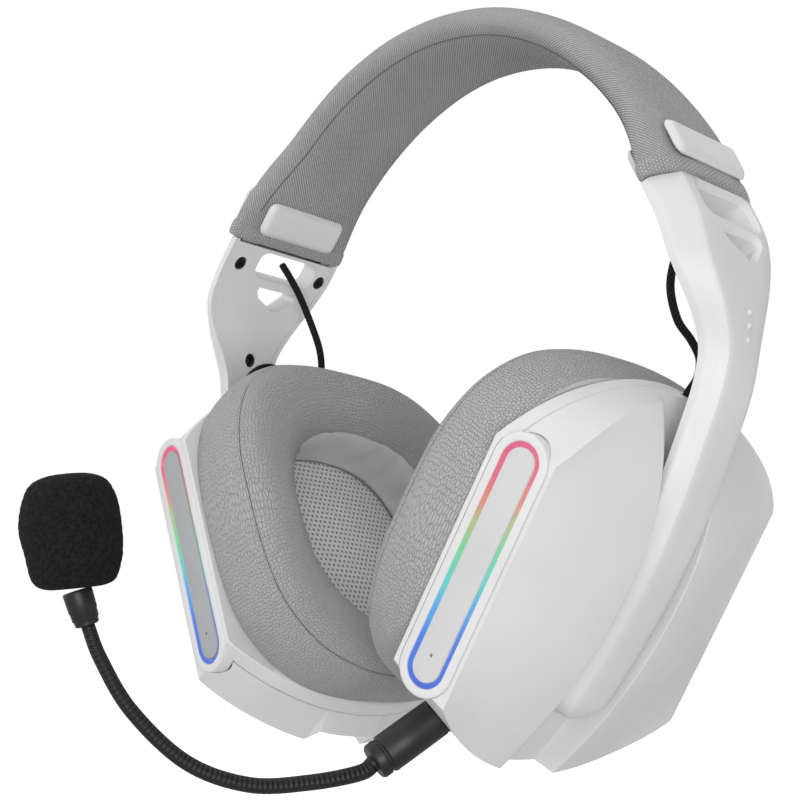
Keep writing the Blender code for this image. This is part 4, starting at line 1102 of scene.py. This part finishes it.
def build_cup(side, looks):
    add, white = side_maker(side, "cup"), looks["white"]
    cutters = [light_notch(), rod(CABLE_HOLE_RADIUS, -6.0, 4.0, cable_entry(ENTRY_V[side]), 32)]
    base_cutters = [light_notch()]
    if side == LEFT:
        for w in (POWER_BUTTON_W, MUTE_BUTTON_W):
            cutters.append(rod(BUTTON_HOLE_RADIUS, -5.0, 4.0, rear_facet(CONTROL_N, w), 40))
        for outline, w in ((WHEEL_SLOT, WHEEL_W), (rounded_rectangle(3.6, 9.4, 1.75), PORT_W)):
            cutters.append(prism(outline, -5.0, 4.0, rear_facet(CONTROL_N, w)))
        for holed in (cutters, base_cutters):
            holed.append(rod(MIC_HOLE_RADIUS, -6.0, 12.0, mic_frame()))
    add("cup_moulding", carve(cup_shell(), *cutters), white, "cup_shell", bevel=0.5, angle=38)
    rings = [[on_cup(level, v, w) for v, w in rim_outline(level, inset)] for level, inset in BASE_PROFILE]
    add("cup_base_moulding", carve(lofted(rings), *base_cutters), white, "cup_base")

    border, inside, core = LIGHT_RADIUS + BEZEL_VISIBLE, LIGHT_RADIUS + 0.1, LIGHT_RADIUS - LIGHT_STRIP
    bezel = stadium_loft([(border, -3.6), (border, 0.05), (border - 0.12, 0.2), (border - 0.4, 0.28),
                          (inside + 0.5, 0.3), (inside + 0.15, 0.22), (inside, 0.0), (inside, -3.6)])
    add("light_bezel_moulding", bezel, white, "light_bezel")
    ring = stadium_loft([(LIGHT_RADIUS, -3.0), (LIGHT_RADIUS, 0.05), (LIGHT_RADIUS - 0.28, 0.05),
                         (LIGHT_RADIUS - 0.62, -0.45), (core + 0.1, -0.55), (core + 0.1, -3.0)])
    add("light_guide", ring, looks["light"], "light_ring", slot="light_guide")
    insert = stadium_loft([(core, -3.0), (core, -0.25), (core - 0.15, -0.05), (core - 0.5, 0.02),
                           (0.3, 0.05)], closed_path=False)
    pinhole = rod(0.45, -1.0, 3.0, front_facet() @ Matrix.Translation((0, -LIGHT_HALF_LENGTH + 3, 0)), 20)
    # The near cup's insert gets the paler copy (painted light) and the far cup's insert the darker copy
    # (painted shade).
    painted_insert_look = looks["insert_near_painted_light" if side == LEFT else "insert_far_painted_shade"]
    add("light_insert_moulding", carve(insert, pinhole), painted_insert_look, "light_insert", slot="grey_plastic")


def cushion_section():
    """The cushion's closed section as (share of the way out, level): side, seam, face, then the lining."""
    corners = [(0.955, -9.4), (1.0, -12.5), (1.03, -17.0), (1.03, -21.5), (1.0, -25.0), (0.968, -26.7),
               (0.935, -28.0), (0.86, -29.7), (0.76, -30.7), (0.64, -31.15), (0.50, -31.2), (0.36, -30.9),
               (0.23, -30.0), (0.12, -28.4), (0.045, -26.2), (0.01, -23.4), (0.0, -20.0), (0.01, -15.0),
               (0.03, -10.6), (0.3, -9.5), (0.6, -9.3)]
    path = smooth_path([(part * 40, level, 0) for part, level in corners + corners[:1]], 4)[:-1]
    return [(point.x / 40, point.y) for point in path]


def nearest(section, corner):
    """The index of the section's point nearest to a corner."""
    def away(index):
        part, level = section[index]
        return abs(part - corner[0]) + abs(level - corner[1]) * 0.2

    return min(range(len(section)), key=away)


def build_cushion(side, looks):
    add, section = side_maker(side, "cup"), cushion_section()
    count = 176
    seam, face_end = nearest(section, SEAM_CORNER), nearest(section, FACE_END_CORNER)
    rings = []
    for index in range(count):
        angle = 2 * math.pi * index / count
        outer_v, outer_w = superellipse(angle, CUSHION_HALF_V, CUSHION_HALF_W, 2.8)
        inner_v, inner_w = superellipse(angle, OPENING_V, OPENING_W, 2.4)
        direction = Vector((math.cos(angle), math.sin(angle)))
        ring = []
        for place, (part, level) in enumerate(section):
            v = mix(inner_v - 1.0, outer_v, part)
            w = mix(inner_w - 0.5, outer_w + 2.2, part)
            softness = 0.32 * noise.noise(Vector((direction.x * 3.2, direction.y * 3.2, place * 0.10 + side)))
            inside = smoothstep((0.35 - part) / 0.35) if level < -12 else 0.0
            fold = noise.noise(Vector((direction.x * 5.5, direction.y * 5.5, level * 0.06 + 4 * side)))
            swell = softness - inside * 1.1 * abs(fold)
            if abs(place - seam) <= 1:
                swell -= 0.45 if place == seam else 0.1
            if place == face_end:
                swell -= 0.35
            outward = 1 if part > 0.5 else -1
            v += direction.x * swell * outward
            w += direction.y * swell * outward
            ring.append(on_cup(level - 0.15 * softness, v, w))
        rings.append(ring)

    def slot(_, place):
        if place < seam:
            return 0
        return 1 if place < face_end else 2

    u = [2 * math.pi * CUSHION_MEAN_RADIUS * index / count for index in range(count + 1)]
    flat = CUP.inverted()
    mesh = settle_cloth(lofted(rings, closed_path=True, u=u, slot=slot),
                        lambda point: (flat @ point).x > CUSHION_HELD_ABOVE)
    mesh.verts.ensure_lookup_table()
    path = [mesh.verts[index * len(section) + seam].co.copy() for index in range(count)]
    cushion = add("cushion", mesh, [looks[kind] for kind in ("cushion_side", "cushion_face", "lining")],
                  "ear_cushion", slot="grey_cloth")
    add("cushion_seam", tube(path + path[:1], 0.2, 6), looks["thread"], slot="grey_cloth")

    outline = [superellipse(2 * math.pi * index / 96, OPENING_V + 0.5, OPENING_W + 0.5, 2.4)
               for index in range(96)]
    skin = Skin()
    skin.loft([[plan_frame() @ Vector((-1.0 + v * share, -0.5 + w * share, -11.2 + 1.2 * share))
                for v, w in outline] for share in (1.0, 0.8, 0.6, 0.4, 0.2, 0.02)])
    for face in skin.mesh.faces:
        for loop in face.loops:
            local = flat @ loop.vert.co
            loop[skin.uv].uv = (local.y, local.z)
    add("speaker_cloth_weave", skin.mesh, looks["speaker"], "speaker_cloth", slot="grey_cloth")


# ---------------------------------------------------------------- microphone and cables

NECK_ROUTE = [(16.4, -61.2, -53.5), (9.3, -73.5, -54.8), (1.8, -86.4, -50.7), (-5.0, -98.3, -40.1),
              (-9.2, -105.4, -29.0)]
COLLAR_BASE, COLLAR_TOP, FOAM_TOP = (-11.0, -108.7, -21.7), (-12.7, -111.5, -14.1), (-15.2, -116.0, 12.0)
PLUG_END = 18.9
LEFT_CABLE = [(73.0, -2.8, 86.5), (70.0, -4.0, 81.5), (68.2, -3.8, 73.0), (68.6, -0.5, 65.0),
              (70.0, 4.0, 60.5), (72.0, 5.2, 56.0), (72.9, 3.6, 51.0)]
RIGHT_CABLE = [(73.0, -0.5, 86.5), (70.5, 2.0, 81.0), (68.5, 6.0, 73.0), (67.8, 10.0, 65.5),
               (67.8, 11.5, 59.0), (68.2, 10.0, 54.8), (69.3, 5.0, 54.2), (70.3, -2.0, 57.0),
               (71.3, -8.5, 57.2), (72.2, -13.5, 53.0)]
NECK_START_RADIUS, NECK_END_RADIUS = 2.0, 1.6
FOAM_SECTION = [(2.2, 0.5, 0), (6.4, 0.7, 0), (9.1, 2.2, 0), (10.6, 6.5, 0), (11.4, 12.5, 0), (11.3, 17.0, 0),
                (10.3, 21.4, 0), (8.4, 24.6, 0), (4.9, 26.2, 0)]


def build_cables(looks):
    for side, route in ((LEFT, LEFT_CABLE), (RIGHT, RIGHT_CABLE)):
        name, entry = SIDE_NAMES[side], cable_entry(ENTRY_V[side])
        points = [arm_point(4.6, -1.5, -2.2)] + [below(point) for point in route]
        points += [entry @ Vector((0, 0, 1.0)), entry @ Vector((0, 0, -2.5))]
        path = smooth_path(points, 10)
        length = running_lengths(path, False)[-1] * MM
        add, mesh = side_maker(side, "arm"), tube(path, CABLE_DIAMETER / 2, 16)
        cable = add("cable", mesh, looks["braid"], "ear_cable", slot="cable_braid", ride=False)
        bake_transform(cable)


def build_microphone(looks):
    place = mic_frame()
    plug = turned([(4.4, -0.2), (4.75, 0.2), (4.8, 7.0), (4.8, 15.2), (4.6, 15.5), (4.3, 15.6), (4.3, 16.2),
                   (4.55, 16.4), (4.5, 18.3), (4.1, 18.8), (2.4, PLUG_END)], place, 56)
    make_piece("mic_plug_body", plug, "mic_plug", looks["black"], ["mic_plug"], slot="black_plastic")

    base, top = below(COLLAR_BASE), below(COLLAR_TOP)
    axis = (top - base).normalized()
    start, lead = place @ Vector((0, 0, PLUG_END - 0.4)), place @ Vector((0, 0, PLUG_END + 4.0))
    path = smooth_path([start, lead] + [below(point) for point in NECK_ROUTE] + [base + axis * 0.6], 22)
    mesh = tube(path, lambda share: mix(NECK_START_RADIUS, NECK_END_RADIUS, share), 24)
    neck = make_piece("gooseneck_rubber", mesh, "mic_plug", looks["neck"], ["mic_gooseneck"], ride=False,
                      slot="black_plastic")
    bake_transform(neck)

    length = (top - base).length
    collar = turned([(2.3, 0.0), (2.75, 0.3), (2.85, 1.3), (3.1, 1.6), (3.15, 3.4), (3.3, 3.6),
                     (3.45, length - 0.6), (3.3, length - 0.1), (2.0, length)],
                    frame_at(base, (1, 0, 0), top - base), 48)
    make_piece("mic_collar_moulding", collar, "mic_head", looks["black"], ["mic_collar"],
               slot="black_plastic")
    foam_axis = below(FOAM_TOP) - top
    foam_place = frame_at(top, (1, 0, 0), foam_axis)
    rings = []
    for point in smooth_path(FOAM_SECTION + [(0.4, foam_axis.length, 0)], 7):
        ring = []
        for index in range(110):
            angle = 2 * math.pi * index / 110
            direction = Vector((math.cos(angle), math.sin(angle), 0))
            spot = Vector((direction.x * point.x, direction.y * point.x, point.y))
            rough = noise.noise(spot * 1.9) * 0.22 + noise.noise(spot * 0.16) * 0.35
            ring.append(foam_place @ (direction * max(point.x + rough, 0.05) + Vector((0, 0, point.y))))
        rings.append(ring)
    windscreen = make_piece("windscreen_foam", lofted(rings), "mic_head", looks["foam"], ["mic_windscreen"],
                            slot="black_foam")


# ---------------------------------------------------------------- what stays from the frame

def finish_frame_nodes(looks):
    """Give every CAD node that is still shown a procedural finish."""
    # Grey CAD plastic takes the far insert's look, which carries painted shade.
    kinds = {"white_plastic": "white", "black_plastic": "black", "grey_cloth": "lining", "black_foam": "foam",
             "steel": "steel", "black_metal": "screw", "board": "board", "light_guide": "light",
             "grey_plastic": "insert_far_painted_shade", "cone": "cone", "battery_wrap": "battery", "gold": "gold",
             "cable_braid": "braid"}
    slots = {part["node"]: part["material_slot"] for part in frame["record"]["subparts"]}
    for name, node in frame["nodes"].items():
        if not node.hide_render:
            node.data.materials.clear()
            node.data.materials.append(looks[kinds[slots[name]]])


def make_looks():
    return {
        "white": plastic("white_plastic", (0.64, 0.64, 0.642), 0.45, 0.012),
        # The two inserts are one grey plastic: the near copy is paler with painted light, the far copy darker
        # with painted shade.
        "insert_near_painted_light": plastic("insert_near_painted_light", (0.55, 0.55, 0.552), 0.42, 0.01),
        "insert_far_painted_shade": plastic("insert_far_painted_shade", (0.33, 0.335, 0.345), 0.42, 0.01),
        "black": plastic("black_plastic", grey(0.010), 0.42, 0.02, 0.8),
        "screw": metal("black_oxide", (0.03, 0.03, 0.032), 0.38),
        "steel": metal("steel", (0.55, 0.56, 0.57), 0.3),
        "gold": metal("gold_plate", (0.8, 0.62, 0.28), 0.2),
        "board": plastic("board_green", (0.03, 0.18, 0.08), 0.5, 0.05, 0.7, 600.0),
        "cone": plastic("cone_film", (0.7, 0.7, 0.66), 0.35, 0.01),
        "battery": plastic("battery_wrap", (0.1, 0.2, 0.45), 0.4, 0.02),
        "twill": twill(),
        "hem": knit("hem_rib", grey(0.20), grey(0.46), 1.0, 0.85, 0.3),
        "thread": plastic("seam_thread", grey(0.13), 0.9, 0.1, 0.7, 900.0),
        "cushion_side": crackle("cushion_side_weave", grey(0.21), grey(0.40), 1.0, 0.2, (1.0, 1.25)),
        "cushion_face": crackle("cushion_face_mesh", grey(0.21), grey(0.39), 0.9, 0.2),
        "lining": knit("lining_cloth", grey(0.42), grey(0.60), 0.5, 0.45, 0.05),
        "speaker": dotted_cloth(),
        "foam": foam("foam_black", grey(0.004)),
        "braid": braid(),
        "neck": ribbed_rubber(),
        "light": light_guide(),
    }


make_camera()
make_stage()
looks = make_looks()
build_cables(looks)
build_headband(looks)
for side in (LEFT, RIGHT):
    build_arm(side, looks)
    build_cup(side, looks)
    build_cushion(side, looks)
build_microphone(looks)
finish_frame_nodes(looks)

boxes = {"cad": cad_box, "visual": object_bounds()}
boxes = {name: [[float(value) for value in corner] for corner in box] for name, box in boxes.items()}
